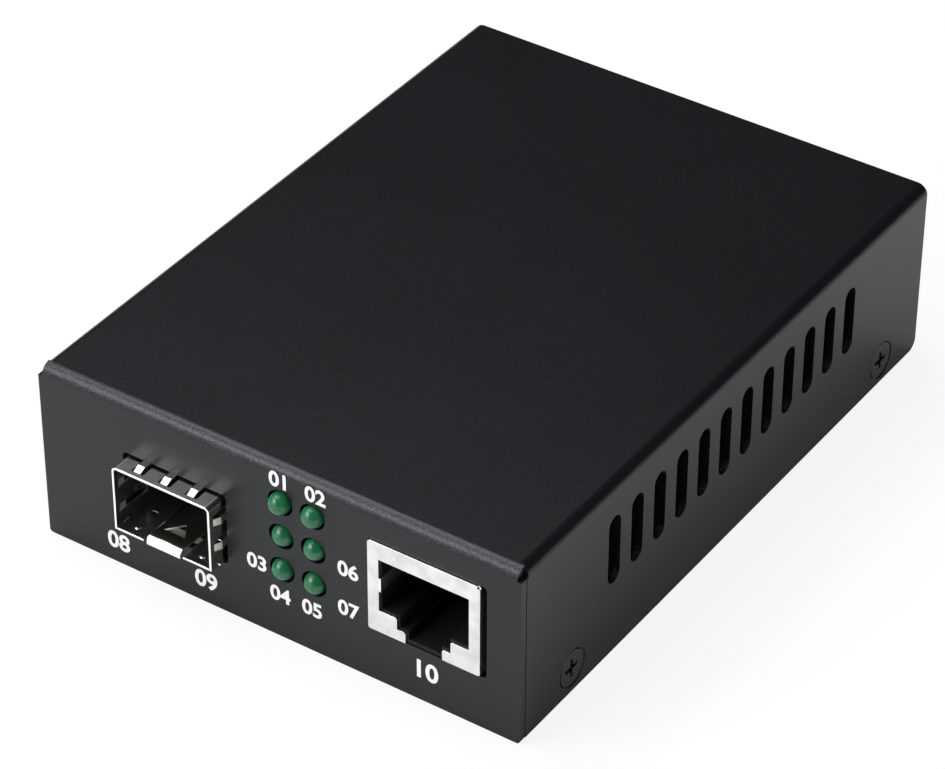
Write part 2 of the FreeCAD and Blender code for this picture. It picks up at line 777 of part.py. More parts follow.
def cover_screws():
    """Four countersunk machine screws with cross recesses."""
    body = new_body("cover_screws")
    sunk = size.screw_gap
    shift = (0, front + size.screw_front)
    profile = new_sketch(body, "XY_Plane", size.screw_height, shift)
    head, shank = size.screw_head / 2, size.screw_shank / 2
    face = side - sunk
    outline(
        profile,
        [
            (face - size.screw_length, 0),
            (face, 0),
            (face, head),
            (face - head + shank, shank),
            (face - size.screw_length, shank),
        ],
    )
    screw = turn(body, profile, "H_Axis")

    shift = (front + size.screw_front, size.screw_height)
    cross = new_sketch(body, "YZ_Plane", face, shift)
    reach, arm = size.recess_reach, size.recess_width / 2
    outline(
        cross,
        [
            (reach, -arm),
            (reach, arm),
            (arm, arm),
            (arm, reach),
            (-arm, reach),
            (-arm, arm),
            (-reach, arm),
            (-reach, -arm),
            (-arm, -arm),
            (-arm, -reach),
            (arm, -reach),
            (arm, -arm),
        ],
    )
    recess = pocket(body, cross, size.recess_depth, towards=-1)
    grid(body, [screw, recess], [("Y_Axis", screw_spacing, 2)], mirror="YZ_Plane")
    return body


# ---------------------------------------------------------------- board and its supports


def four_turned(label, corners):
    """Four like pieces turned about upright axes at the board's fixing points."""
    body = new_body(label)
    sketch = new_sketch(body, "XZ_Plane", standoff_front_y, (standoff_x, 0))
    outline(sketch, corners)
    piece = turn(body, sketch, "V_Axis")
    spacing = standoff_rear_y - standoff_front_y
    grid(body, [piece], [("Y_Axis", spacing, 2)], mirror="YZ_Plane")
    return body


def board_standoffs():
    """Threaded standoffs pressed into the tray, flush underneath."""
    skin = size.sheet / 2
    return four_turned(
        "board_standoffs",
        [
            (0, 0),
            (size.standoff_spigot / 2, 0),
            (size.standoff_spigot / 2, size.sheet),
            (size.standoff_width / 2, size.sheet),
            (size.standoff_width / 2, board_under),
            (size.standoff_bore / 2, board_under),
            (size.standoff_bore / 2, skin),
            (0, skin),
        ],
    )


def board_screws():
    """Pan-head screws that hold the board on its standoffs."""
    shank = size.standoff_bore / 2 - size.screw_gap
    rim = size.board_screw_rise / 2
    crown = size.board_screw_head / 2 - rim
    return four_turned(
        "board_screws",
        [
            (0, board_top - size.board_screw_length),
            (shank, board_top - size.board_screw_length),
            (shank, board_top),
            (size.board_screw_head / 2, board_top),
            (size.board_screw_head / 2, board_top + size.board_screw_rise, rim),
            (crown * 0.4, board_top + size.board_screw_rise),
            (crown * 0.4, board_top + size.board_screw_rise * 0.5),
            (0, board_top + size.board_screw_rise * 0.5),
        ],
    )


def circuit_board():
    """Laminate with its fixing holes and a hole for every soldered pin."""
    body = new_body("circuit_board")
    sketch = new_sketch(body, "XY_Plane", board_under)
    rectangle(sketch, -board_half, board_half, board_front, board_rear, size.board_corner)
    for x in (-standoff_x, standoff_x):
        for y in (standoff_front_y, standoff_rear_y):
            circle(sketch, x, y, size.standoff_bore / 2 + size.pin_gap)
    for sign in (-1, 1):
        wall = cage_x + (cage_half - size.cage_sheet / 2) * sign
        for pin in range(int(size.cage_pin_count.value)):
            y = cage_mouth + size.cage_pin_first + size.cage_pin_pitch * pin
            circle(sketch, wall, y, size.cage_pin_width / 2 + size.pin_gap)
        tab = jack_x + (jack_half - size.jack_sheet / 2) * sign
        circle(sketch, tab, front + size.tab_from_front, size.tab_width / 2 + size.pin_gap)
    for wire in range(int(size.wire_count.value)):
        x = jack_x + size.wire_pitch * (wire - (size.wire_count - 1) / 2)
        circle(sketch, x, tail_centre(wire % 2), size.wire_width / 2 + size.pin_gap)
    for x in lamp_columns.values():
        for level in range(3):
            for sign in (-1, 1):
                radius = size.lead_width / 2 + size.pin_gap * 1.5
                circle(sketch, x + size.lead_pitch / 2 * sign, lead_drop(level), radius)
    for y in (
        power_face - size.power_spring_back - size.power_tail_sheet / 2,
        power_face - size.power_depth - size.power_tail_sheet / 2,
    ):
        half_width = size.power_tail_width / 2 + size.pin_gap
        half_sheet = size.power_tail_sheet / 2 + size.pin_gap
        rectangle(
            sketch, power_x - half_width, power_x + half_width, y - half_sheet, y + half_sheet
        )
    pad(body, sketch, size.board_thickness)
    return body


# ---------------------------------------------------------------- optical module cage


def finger_section(wall, outward, rise):
    """Section of a sprung finger arched out of its wall, its crest in the panel's thickness."""
    root = cage_mouth + size.finger_root
    half = front + size.sheet / 2 - root
    skin = size.finger_sheet * outward
    arch = []
    for along, lift in ((0, 0), (0.46, 0.88), (0.62, 1), (1.38, 1), (1.54, 0.88), (2, 0)):
        arch.append((root + half * along, wall + rise * (lift * outward)))
    under = [(y, z - skin) for y, z in reversed(arch)]
    start = root - size.finger_sheet
    return [(start, wall)] + arch + under + [(start, wall - skin)]


def sfp_cage_shell():
    """Folded roof, side walls and back, with sprung grounding fingers round the mouth."""
    body = new_body("sfp_cage_shell")
    left, right = cage_x - cage_half, cage_x + cage_half
    skin = size.cage_sheet
    tunnel = new_sketch(body, "XZ_Plane", cage_mouth)
    outline(
        tunnel,
        [
            (left, cage_floor),
            (left + skin, cage_floor),
            (left + skin, cage_roof - skin, size.cage_corner - skin),
            (right - skin, cage_roof - skin, size.cage_corner - skin),
            (right - skin, cage_floor),
            (right, cage_floor),
            (right, cage_roof, size.cage_corner),
            (left, cage_roof, size.cage_corner),
        ],
    )
    pad(body, tunnel, size.cage_length)

    back = new_sketch(body, "XZ_Plane", cage_back - skin)
    rectangle(back, left + skin, right - skin, cage_floor, cage_roof - skin)
    pad(body, back, skin)

    window_start = cage_mouth + size.finger_root
    window_end = front * 2 + size.sheet - window_start + size.finger_tip_gap
    half_window = size.finger_window / 2
    first_top = cage_x - size.finger_pitch_top
    roof_window = new_sketch(body, "XY_Plane", cage_roof)
    window_middle = first_top + size.finger_shift
    rectangle(
        roof_window, window_middle - half_window, window_middle + half_window, window_start, window_end
    )
    roof_windows = pocket(body, roof_window, skin, towards=-1)
    row(body, [roof_windows], "X_Axis", size.finger_pitch_top, 3)

    low_finger = cage_floor + size.finger_low
    wall_window = new_sketch(body, "YZ_Plane", cage_x)
    rectangle(
        wall_window, window_start, window_end, low_finger - half_window, low_finger + half_window
    )
    wall_windows = pocket(body, wall_window, size.cage_width, both=True)
    row(body, [wall_windows], "Z_Axis", size.finger_pitch_side, 2)

    small = new_sketch(body, "YZ_Plane", cage_x)
    lance, lance_low = cage_mouth + size.lance_back, cage_floor + size.lance_low
    rectangle(small, lance, lance + size.lance_length, lance_low, lance_low + size.lance_height)
    key = cage_mouth + size.key_back
    key_half = size.key_width / 2 + size.floor_gap
    rectangle(small, key - key_half, key + key_half, cage_floor - skin, cage_floor + skin + size.floor_gap)
    pocket(body, small, size.cage_width, both=True)

    roof_finger = new_sketch(body, "YZ_Plane", first_top)
    outline(roof_finger, finger_section(cage_roof, 1, size.cage_top_gap - size.finger_play))
    roof_fingers = pad(body, roof_finger, size.finger_width, both=True)
    row(body, [roof_fingers], "X_Axis", size.finger_pitch_top, 3)

    wall_finger = new_sketch(body, "XY_Plane", low_finger)
    for wall, outward in ((left, -1), (right, 1)):
        section = finger_section(wall, outward, size.cage_side_gap - size.finger_play)
        outline(wall_finger, [(x, y) for y, x in section])
    wall_fingers = pad(body, wall_finger, size.finger_width, both=True)
    row(body, [wall_fingers], "Z_Axis", size.finger_pitch_side, 2)

    pin = new_sketch(body, "XY_Plane", cage_floor)
    first_pin = cage_mouth + size.cage_pin_first
    for x in (left, right - skin):
        rectangle(
            pin, x, x + skin, first_pin - size.cage_pin_width / 2, first_pin + size.cage_pin_width / 2
        )
    pins = pad(body, pin, cage_floor - solder_end, towards=-1)
    row(body, [pins], "Y_Axis", size.cage_pin_pitch, size.cage_pin_count)
    return body


def sfp_cage_floor():
    """Floor of the cage: keys through the walls, and the latch tongue raised to its curled lip."""
    body = new_body("sfp_cage_floor")
    skin = size.cage_sheet
    middle = cage_x
    half = cage_half - skin - size.floor_gap
    plate = new_sketch(body, "XY_Plane", cage_floor)
    rectangle(plate, middle - half, middle + half, cage_mouth, cage_mouth + edge_front - 1)
    pad(body, plate, skin)

    keys = new_sketch(body, "XY_Plane", cage_floor)
    reach = cage_half + size.key_out
    key = cage_mouth + size.key_back
    key_half = size.key_width / 2
    rectangle(keys, middle - reach, middle + reach, key - key_half, key + key_half)
    pad(body, keys, skin)

    dimples = new_sketch(body, "XY_Plane", cage_floor + skin)
    for sign in (-1, 1):
        x = middle + size.dimple_reach * sign
        circle(dimples, x, cage_mouth + size.dimple_back, size.dimple_width / 2)
    pad(body, dimples, size.dimple_rise)

    root = cage_mouth + size.tongue_length
    cuts = new_sketch(body, "XY_Plane", cage_floor)
    gap = size.tongue_opening / 2
    rectangle(cuts, middle - gap, middle + gap, cage_mouth, root)
    stop = cage_mouth + size.stop_back
    for sign in (-1, 1):
        x = middle + size.dimple_reach * sign
        across = size.stop_width / 2
        rectangle(cuts, x - across, x + across, stop, stop + size.stop_length)
    pocket(body, cuts, skin)

    profile = new_sketch(body, "YZ_Plane", middle + size.tongue_shift)
    bend = cage_mouth + size.lip_back
    top = cage_floor + skin + size.tongue_rise
    tip = cage_mouth - size.lip_out
    outline(
        profile,
        [
            (root + skin, cage_floor),
            (root + skin, cage_floor + skin),
            (root, cage_floor + skin),
            (bend, top),
            (bend - (bend - tip) * 0.45, top - skin * 0.3),
            (bend - (bend - tip) * 0.8, top - skin * 1.1),
            (tip, top - skin * 2.2),
            (tip, cage_floor),
            (tip + skin, cage_floor),
            (bend - (bend - tip) * 0.4, top - skin * 1.5),
            (bend, top - skin),
            (root, cage_floor),
        ],
    )
    pad(body, profile, size.tongue_width, both=True)

    latch = new_sketch(body, "XY_Plane", cage_floor - skin)
    latch_start = cage_mouth + size.latch_start
    outline(
        latch,
        [
            (middle - size.latch_width / 2, latch_start),
            (middle + size.latch_width / 2, latch_start),
            (middle, latch_start + size.latch_depth),
        ],
    )
    pocket(body, latch, size.tongue_rise + skin * 3)
    return body


def sfp_connector():
    """Moulded edge connector at the back of the cage, open through its slot."""
    body = new_body("sfp_connector")
    start = cage_mouth + edge_front
    block = new_sketch(body, "XZ_Plane", start)
    half, slot_half = size.edge_width / 2, size.edge_slot_width / 2
    rectangle(
        block, cage_x - half, cage_x + half, board_top, board_top + size.edge_height, 0.3
    )
    slot_low = board_top + size.edge_slot_low
    rectangle(
        block,
        cage_x - slot_half,
        cage_x + slot_half,
        slot_low,
        slot_low + size.edge_slot_height,
    )
    pad(body, block, size.edge_depth)
    return body


def sfp_contacts():
    """Two rows of contacts along the slot's roof and floor, with tails down to the board."""
    body = new_body("sfp_contacts")
    start = cage_mouth + edge_front + 0.5
    back = cage_mouth + edge_front + size.edge_depth
    skin = size.edge_contact_sheet
    low = board_top + size.edge_slot_low
    first = cage_x - size.edge_contact_pitch * (size.edge_contact_count - 1) / 2
    rows = []
    for height, leg in ((low, back + 0.2), (low + size.edge_slot_height - skin, back + 1.2)):
        arm = new_sketch(body, "YZ_Plane", first)
        outline(
            arm,
            [
                (start, height),
                (leg, height),
                (leg, board_top),
                (leg + 0.8, board_top),
                (leg + 0.8, board_top + skin),
                (leg + skin, board_top + skin),
                (leg + skin, height + skin),
                (start, height + skin),
            ],
        )
        rows.append(pad(body, arm, size.edge_contact_width, both=True))
    grid(body, rows, [("X_Axis", size.edge_contact_pitch, size.edge_contact_count)])
    return body


# ---------------------------------------------------------------- copper network socket


def tail_centre(second_row):
    """How far back a contact's tail goes through the board."""
    return housing_back + size.wire_tail + size.wire_width / 2 + size.wire_row_pitch * second_row


def socket_opening(inset, roof_inset, notch_low, *corner):
    """The stepped outline of the plug opening, latch notch downwards, its steps rounded by corner."""
    half = size.window_width / 2 - inset
    step = size.step_width / 2 - inset
    notch = size.notch_width / 2 - inset
    shoulder = board_top + size.window_low + inset
    step_low = board_top + size.step_low + inset
    roof = board_top + size.window_top - roof_inset
    latch = [(notch, notch_low), (notch, step_low, *corner), (step, step_low)]
    corners = latch + [(step, shoulder, *corner), (half, shoulder), (half, roof)]
    mirrored = [(-x, *rest) for x, *rest in reversed(corners)]
    return [(jack_x + x, *rest) for x, *rest in corners + mirrored]


def rj45_shield():
    """Tinned steel can round the socket, open below, with its stepped window and side spring."""
    body = new_body("rj45_shield")
    left, right = jack_x - jack_half, jack_x + jack_half
    skin = size.jack_sheet
    block = new_sketch(body, "XZ_Plane", jack_face)
    outline(
        block,
        [
            (left, board_top, size.jack_foot),
            (right, board_top, size.jack_foot),
            (right, jack_roof, size.jack_corner),
            (left, jack_roof, size.jack_corner),
        ],
    )
    pad(body, block, size.jack_depth)

    inside = new_sketch(body, "XY_Plane", board_top)
    rectangle(inside, left + skin, right - skin, jack_face + skin, jack_back - skin)
    pocket(body, inside, size.jack_height - skin)

    window = new_sketch(body, "XZ_Plane", jack_face)
    outline(window, socket_opening(0, 0, board_top, size.window_corner))
    rectangle(
        window, right - size.jack_relief, right, jack_roof - size.jack_relief, jack_roof
    )
    pocket(body, window, skin)

    spring = new_sketch(body, "XY_Plane", board_top + size.ear_low + size.ear_height / 2)
    edge = jack_x - size.window_width / 2
    fold_face, fold_back = jack_face + skin * 0.2, jack_face + skin
    outline(
        spring,
        [
            (edge - 0.2, fold_face),
            (edge + size.ear_in, fold_face),
            (edge + size.ear_in, jack_face + size.ear_length),
            (edge + size.ear_in - 0.2, jack_face + size.ear_length),
            (edge + size.ear_in - 0.2, fold_back),
            (edge - 0.2, fold_back),
        ],
    )
    pad(body, spring, size.ear_height, both=True)

    tabs = new_sketch(body, "XY_Plane", board_top)
    middle = front + size.tab_from_front
    for x in (left, right - skin):
        rectangle(tabs, x, x + skin, middle - size.tab_width / 2, middle + size.tab_width / 2)
    pad(body, tabs, board_top - solder_end, towards=-1)
    return body


def cavity_roof():
    return board_top + size.window_top - size.cavity_inset


def rj45_housing():
    """Moulded housing with the plug cavity and a tunnel over it for the contact insert."""
    body = new_body("rj45_housing")
    fit = size.jack_sheet + size.jack_fit
    half = jack_half - fit
    block = new_sketch(body, "XZ_Plane", housing_front)
    rectangle(block, jack_x - half, jack_x + half, board_top, jack_roof - fit)
    pad(body, block, housing_back - housing_front)

    cavity = new_sketch(body, "XZ_Plane", housing_front)
    outline(
        cavity, socket_opening(size.cavity_inset, size.cavity_inset, board_top + size.notch_floor)
    )
    pocket(body, cavity, size.cavity_depth)

    tunnel = new_sketch(body, "XZ_Plane", housing_front + size.insert_back)
    reach = size.insert_width / 2 + size.insert_fit
    roof = cavity_roof()
    top = roof + size.insert_height + size.insert_fit
    rectangle(tunnel, jack_x - reach, jack_x + reach, roof - size.insert_fit, top)
    pocket(body, tunnel, housing_back - housing_front)

    recess = new_sketch(body, "XZ_Plane", housing_front)
    low = board_top + size.ear_low - size.insert_fit
    edge = jack_x - size.window_width / 2
    rectangle(recess, edge - 0.3, edge + 1, low, low + size.ear_height + size.insert_fit * 2)
    pocket(body, recess, size.ear_length)
    return body


def rj45_insert():
    """Moulded comb that holds the contact wires in a row of grooves, open to the cavity."""
    body = new_body("rj45_insert")
    start = housing_front + size.insert_back + size.insert_fit
    half = size.insert_width / 2
    roof = cavity_roof()
    block = new_sketch(body, "XZ_Plane", start)
    rectangle(block, jack_x - half, jack_x + half, roof, roof + size.insert_height)
    pad(body, block, housing_back - start)

    groove = new_sketch(body, "XZ_Plane", start)
    first = jack_x - size.wire_pitch * (size.wire_count - 1) / 2
    rectangle(
        groove, first - size.wire_groove / 2, first + size.wire_groove / 2, roof - 0.2, roof + 1.0
    )
    grooves = pocket(body, groove, housing_back - start)
    row(body, [grooves], "X_Axis", size.wire_pitch, size.wire_count)
    return body


def rj45_contacts():
    """Eight sprung wires: along the comb, round at the front and sloping back into the cavity."""
    body = new_body("rj45_contacts")
    gauge = size.wire_width
    roof = cavity_roof()
    lane = roof + 0.3
    nose = housing_front + 2.0
    tip = housing_front + 8.5
    tip_low = roof - size.wire_drop
    first = jack_x - size.wire_pitch * (size.wire_count - 1) / 2
    rows = []
    for second_row in (0, 1):
        tail = tail_centre(second_row) - gauge / 2
        wire = new_sketch(body, "YZ_Plane", first + size.wire_pitch * second_row)
        outline(
            wire,
            [
                (tail, solder_end),
                (tail + gauge, solder_end),
                (tail + gauge, lane + gauge),
                (nose, lane + gauge),
                (nose, lane - gauge),
                (tip, tip_low),
                (tip, tip_low + gauge),
                (nose + gauge * 3, lane),
                (tail, lane),
            ],
        )
        rows.append(pad(body, wire, gauge, both=True))
    grid(body, rows, [("X_Axis", size.wire_pitch * 2, size.wire_count / 2)])
    return body


# ---------------------------------------------------------------- status lamps


def lamp_tip(column, level):
    return front - getattr(size, f"lamp_out_{column}_{level}")


def lead_drop(level):
    """How far back the leads of a row of lamps bend down to the board."""
    return holder_back + size.lead_back + size.lead_step * level


def lamp(column, level, z):
    """A 3 mm lamp: round dome, cylindrical body and flange."""
    body = new_body(f"led_{column}_{level}", lamp_columns[column], lamp_tip(column, level), z)
    sketch = new_sketch(body, "YZ_Plane")
    radius, flange = size.lamp_width / 2, size.lamp_flange / 2
    shoulder = size.lamp_length - size.lamp_flange_length
    axis = draw_line(sketch, (size.lamp_length, 0), (0, 0))
    wall = draw_line(sketch, (radius, radius), (shoulder, radius))
    draw_line(sketch, (shoulder, radius), (shoulder, flange))
    draw_line(sketch, (shoulder, flange), (size.lamp_length, flange))
    draw_line(sketch, (size.lamp_length, flange), (size.lamp_length, 0))
    dome = draw_arc(sketch, (0, 0), (radius, radius), (radius, 0), radius)
    join(sketch, axis, 2, dome, (0, 0))
    join(sketch, wall, 1, dome, (radius, radius))
    turn(body, sketch, "H_Axis")
    return body


def led_holder(column):
    """Moulded block that holds three lamps of one column in line behind the panel."""
    body = new_body(f"led_holder_{column}", lamp_columns[column])
    half = size.holder_width / 2
    block = new_sketch(body, "XZ_Plane", holder_front)
    rectangle(block, -half, half, board_top, lamp_rows[-1] + size.holder_cap)
    pad(body, block, size.holder_depth)
    bores = new_sketch(body, "XZ_Plane", holder_front)
    for z in lamp_rows:
        circle(bores, 0, z, size.lamp_width / 2 + size.holder_fit)
    pocket(body, bores, size.holder_depth)
    for level, z in zip(LEVELS, lamp_rows):
        flange = lamp_tip(column, level) + size.lamp_length - size.lamp_flange_length
        seat = new_sketch(body, "XZ_Plane", flange)
        circle(seat, 0, z, size.lamp_flange / 2 + size.holder_fit)
        pocket(body, seat, size.holder_depth)
    return body


def led_leads():
    """Twelve square leads, two from each lamp, bent down through the board."""
    body = new_body("led_leads")
    gauge = size.lead_width
    leads = []
    for column, x in lamp_columns.items():
        for index, (level, z) in enumerate(zip(LEVELS, lamp_rows)):
            lead = new_sketch(body, "YZ_Plane", x - size.lead_pitch / 2)
            start = lamp_tip(column, level) + size.lamp_length
            drop = lead_drop(index)
            outline(
                lead,
                [
                    (start, z - gauge / 2),
                    (drop - gauge / 2, z - gauge / 2),
                    (drop - gauge / 2, solder_end),
                    (drop + gauge / 2, solder_end),
                    (drop + gauge / 2, z + gauge / 2),
                    (start, z + gauge / 2),
                ],
            )
            leads.append(pad(body, lead, gauge, both=True))
    row(body, leads, "X_Axis", size.lead_pitch, 2)
    return body


# ---------------------------------------------------------------- power socket


def power_body(label):
    """A body whose own origin is on the board, under the socket's axis, at the socket's face."""
    return new_body(label, power_x, power_face, board_top)


def dc_jack_housing():
    """Moulded housing of the power socket."""
    body = power_body("dc_jack_housing")
    half, axis = size.power_width / 2, size.power_axis
    block = new_sketch(body, "XZ_Plane")
    rectangle(block, -half, half, 0, size.power_height, 0.4)
    pad(body, block, size.power_block, towards=-1)

    barrel = new_sketch(body, "XZ_Plane")
    crown = half - 0.5
    outline(barrel, [(-half, 0), (half, 0), (half, axis + crown, crown), (-half, axis + crown, crown)])
    pad(body, barrel, size.power_depth, towards=-1)

    bore = new_sketch(body, "XZ_Plane")
    circle(bore, 0, axis, size.power_bore / 2)
    pocket(body, bore, size.power_bore_depth, towards=-1)

    pin_hole = new_sketch(body, "XZ_Plane")
    circle(pin_hole, 0, axis, size.power_pin_root / 2)
    pocket(body, pin_hole, size.power_depth, towards=-1)

    spring_slot = new_sketch(body, "YZ_Plane")
    back = -size.power_spring_back - size.power_tail_sheet - 0.1
    rectangle(spring_slot, back, -size.power_block, 0, axis)
    pocket(body, spring_slot, size.power_tail_width + 0.2, both=True)
    return body


def dc_jack_pin():
    """Turned centre pin of the power socket: chamfered tip, thicker root in the moulding."""
    body = power_body("dc_jack_pin")
    sketch = new_sketch(body, "YZ_Plane", 0, (0, size.power_axis))
    radius, tip = size.power_pin / 2, -size.power_pin_back
    outline(
        sketch,
        [
            (-size.power_depth, 0),
            (tip, 0),
            (tip, radius * 0.6),
            (tip - radius * 0.4, radius),
            (-size.power_bore_depth, radius),
            (-size.power_bore_depth, size.power_pin_root / 2),
            (-size.power_depth, size.power_pin_root / 2),
        ],
    )
    turn(body, sketch, "H_Axis")
    return body


def dc_jack_spring():
    """Sprung outer contact that presses on a plug's barrel from below."""
    body = power_body("dc_jack_spring")
    sketch = new_sketch(body, "YZ_Plane")
    skin = size.power_tail_sheet
    leg = -size.power_spring_back
    wall = size.power_axis - size.power_bore / 2
    crest = wall + 0.5
    outline(
        sketch,
        [
            (leg - skin, solder_end - board_top),
            (leg, solder_end - board_top),
            (leg, wall - skin),
            (-size.power_block - 1.4, crest - skin),
            (-size.power_block - 0.4, wall - skin),
            (-size.power_block - 0.4, wall),
            (-size.power_block - 1.4, crest),
            (leg - skin, wall),
        ],
    )
    pad(body, sketch, size.power_tail_width, both=True)
    return body


def dc_jack_terminal():
    """Flat terminal behind the socket that the centre pin is riveted to."""
    body = power_body("dc_jack_terminal")
    sketch = new_sketch(body, "XZ_Plane", -size.power_depth)
    half = size.power_tail_width / 2
    rectangle(sketch, -half, half, solder_end - board_top, size.power_axis + size.power_pin)
    pad(body, sketch, size.power_tail_sheet, towards=-1)
    return body


# ---------------------------------------------------------------- parts on the board


def bind_all(thing, sizes):
    for path, value in sizes.items():
        bind(thing, path, value)


def box(name, length, width, height, x, y, z):
    """A plain block centred on x, y that stands on z."""
    block = doc.addObject("Part::Box", name)
    bind_all(
        block,
        {
            "Length": length,
            "Width": width,
            "Height": height,
            "Placement.Base.x": x - length / 2,
            "Placement.Base.y": y - width / 2,
            "Placement.Base.z": z,
        },
    )
    return block


def labelled(thing, label):
    thing.Label = label
    return thing


def fused(label, pieces):
    whole = doc.addObject("Part::MultiFuse", label)
    whole.Shapes = pieces
    whole.Refine = True
    return labelled(whole, label)


def converter_chip():
    """Flat square package with a notched corner that marks its first pin."""
    plate = box(
        "chip_plate",
        size.chip_side,
        size.chip_side,
        size.chip_height,
        size.chip_x,
        size.chip_y,
        board_top,
    )
    notch = doc.addObject("Part::Cylinder", "chip_mark")
    inset = size.chip_side / 2 - 1.2
    bind_all(
        notch,
        {
            "Radius": as_size(0.5),
            "Height": size.chip_height,
            "Placement.Base.x": size.chip_x - inset,
            "Placement.Base.y": size.chip_y - inset,
            "Placement.Base.z": board_top + size.chip_height * 0.9,
        },
    )
    chip = doc.addObject("Part::Cut", "converter_chip")
    chip.Base, chip.Tool = plate, notch
    return labelled(chip, "converter_chip")


def gull_leads(name, count, pitch, reach, x, y, rise):
    """Blocks for the feet of a small-outline package along one of its long sides."""
    feet = []
    for index in range(count):
        along = x + pitch * (index - (count - 1) / 2)
        feet.append(box(f"{name}_{index}", as_size(0.4), reach, rise, along, y, board_top))
    return feet


def memory_chip():
    """Eight-legged small-outline package."""
    lift = as_size(0.15)
    plate = box(
        "memory_plate",
        size.memory_length,
        size.memory_width,
        size.memory_height,
        size.memory_x,
        size.memory_y,
        board_top + lift,
    )
    pieces = [plate]
    for sign in (-1, 1):
        y = size.memory_y + (size.memory_width / 2 + 0.4) * sign
        pieces += gull_leads(
            f"memory_leg_{sign + 1}", 4, as_size(1.27), as_size(1.0), size.memory_x, y, lift + 0.2
        )
    return fused("memory_chip", pieces)


def voltage_regulator():
    """Regulator with three legs on one side and a wide cooling tab on the other."""
    lift = as_size(0.1)
    middle = rear - size.regulator_back
    body = box(
        "regulator_block",
        size.regulator_length,
        size.regulator_width,
        size.regulator_height,
        size.regulator_x,
        middle,
        board_top + lift,
    )
    reach = as_size(1.9)
    far = size.regulator_width / 2 + reach / 2 - 0.2
    tab = box(
        "regulator_tab", as_size(3.0), reach, lift + 0.3, size.regulator_x, middle + far, board_top
    )
    legs = gull_leads(
        "regulator_leg", 3, as_size(2.3), reach, size.regulator_x, middle - far, lift + 0.3
    )
    return fused("voltage_regulator", [body, tab] + legs)


def lan_transformer():
    """Moulded block of line transformers, held just off the board by its pins."""
    return labelled(
        box(
            "lan_transformer",
            size.transformer_length,
            size.transformer_width,
            size.transformer_height,
            size.transformer_x,
            size.transformer_y,
            board_top + 0.3,
        ),
        "lan_transformer",
    )


def transformer_pins():
    """Bent pins along both long sides of the line transformer."""
    body = new_body("transformer_pins", size.transformer_x, size.transformer_y, board_top)
    gauge = 0.3
    wall = size.transformer_width / 2
    first = -size.transformer_pin_pitch * (size.transformer_pin_count - 1) / 2
    pin = new_sketch(body, "YZ_Plane", first)
    outline(
        pin,
        [
            (wall, 1.8),
            (wall, 1.8 + gauge),
            (wall + 0.8, 1.8 + gauge),
            (wall + 0.8, gauge),
            (wall + 1.6, gauge),
            (wall + 1.6, 0),
            (wall + 0.8 - gauge, 0),
            (wall + 0.8 - gauge, 1.8),
        ],
    )
    pins = pad(body, pin, 0.45, both=True)
    rows = [("X_Axis", size.transformer_pin_pitch, size.transformer_pin_count)]
    grid(body, [pins], rows, mirror="XZ_Plane")
    return body


def crystal_can():
    """Long round-ended steel can on its flat base."""
    body = new_body("crystal_can", size.crystal_x, size.crystal_y, board_top)
    for width, height in ((size.crystal_width, 0.5), (size.crystal_width - 0.7, size.crystal_height)):
        sketch = new_sketch(body, "XY_Plane")
        slot(sketch, 0, 0, width, size.crystal_length - size.crystal_width + width)
        can = pad(body, sketch, height)
    roof = size.crystal_height.value

    def on_roof(point):
        return at(point.z, board_top + roof) or at(point.z, roof)

    round_edges(body, can, on_roof, 0.5)
    return body


def power_inductor():
    """Drum core with its winding between two round cheeks."""
    body = new_body("power_inductor", size.coil_x, rear - size.coil_back, board_top)
    sketch = new_sketch(body, "XZ_Plane")
    rim, waist = size.coil_width / 2, size.coil_waist / 2
    outline(
        sketch,
        [
            (0, 0),
            (rim, 0),
            (rim, size.coil_cheek),
            (waist, size.coil_cheek),
            (waist, size.coil_height - size.coil_cheek),
            (rim, size.coil_height - size.coil_cheek),
            (rim, size.coil_height),
            (0, size.coil_height),
        ],
    )
    turn(body, sketch, "V_Axis")
    return body


def filter_capacitor(label, x):
    """Surface-mounted can capacitor: square base, can with a bead rolled round it."""
    body = new_body(label, x, rear - size.can_back, board_top)
    base = new_sketch(body, "XY_Plane")
    half = size.can_base / 2
    rectangle(base, -half, half, -half, half, 1.0)
    pad(body, base, size.can_base_height)
    can = new_sketch(body, "XZ_Plane")
    radius = size.can_width / 2
    neck = size.can_base_height + 0.7
    outline(
        can,
        [
            (0, size.can_base_height),
            (radius, size.can_base_height),
            (radius, neck),
            (radius - 0.25, neck + 0.3),
            (radius, neck + 0.6),
            (radius, size.can_height, 0.4),
            (0, size.can_height),
        ],
    )
    turn(body, can, "V_Axis")
    return body


def chip_parts(label, x, y, height):
    """Two rows of chip resistors or capacitors."""
    body = new_body(label, x, y, board_top)
    sketch = new_sketch(body, "XY_Plane")
    half_length, half_width = size.bead_length / 2, size.bead_width / 2
    rectangle(sketch, -half_width, half_width, -half_length, half_length)
    chip = pad(body, sketch, height)
    rows = [("X_Axis", size.bead_pitch * 0.7, size.bead_rows), ("Y_Axis", size.bead_pitch, 2)]
    grid(body, [chip], rows)
    return body


# ---------------------------------------------------------------- the whole converter

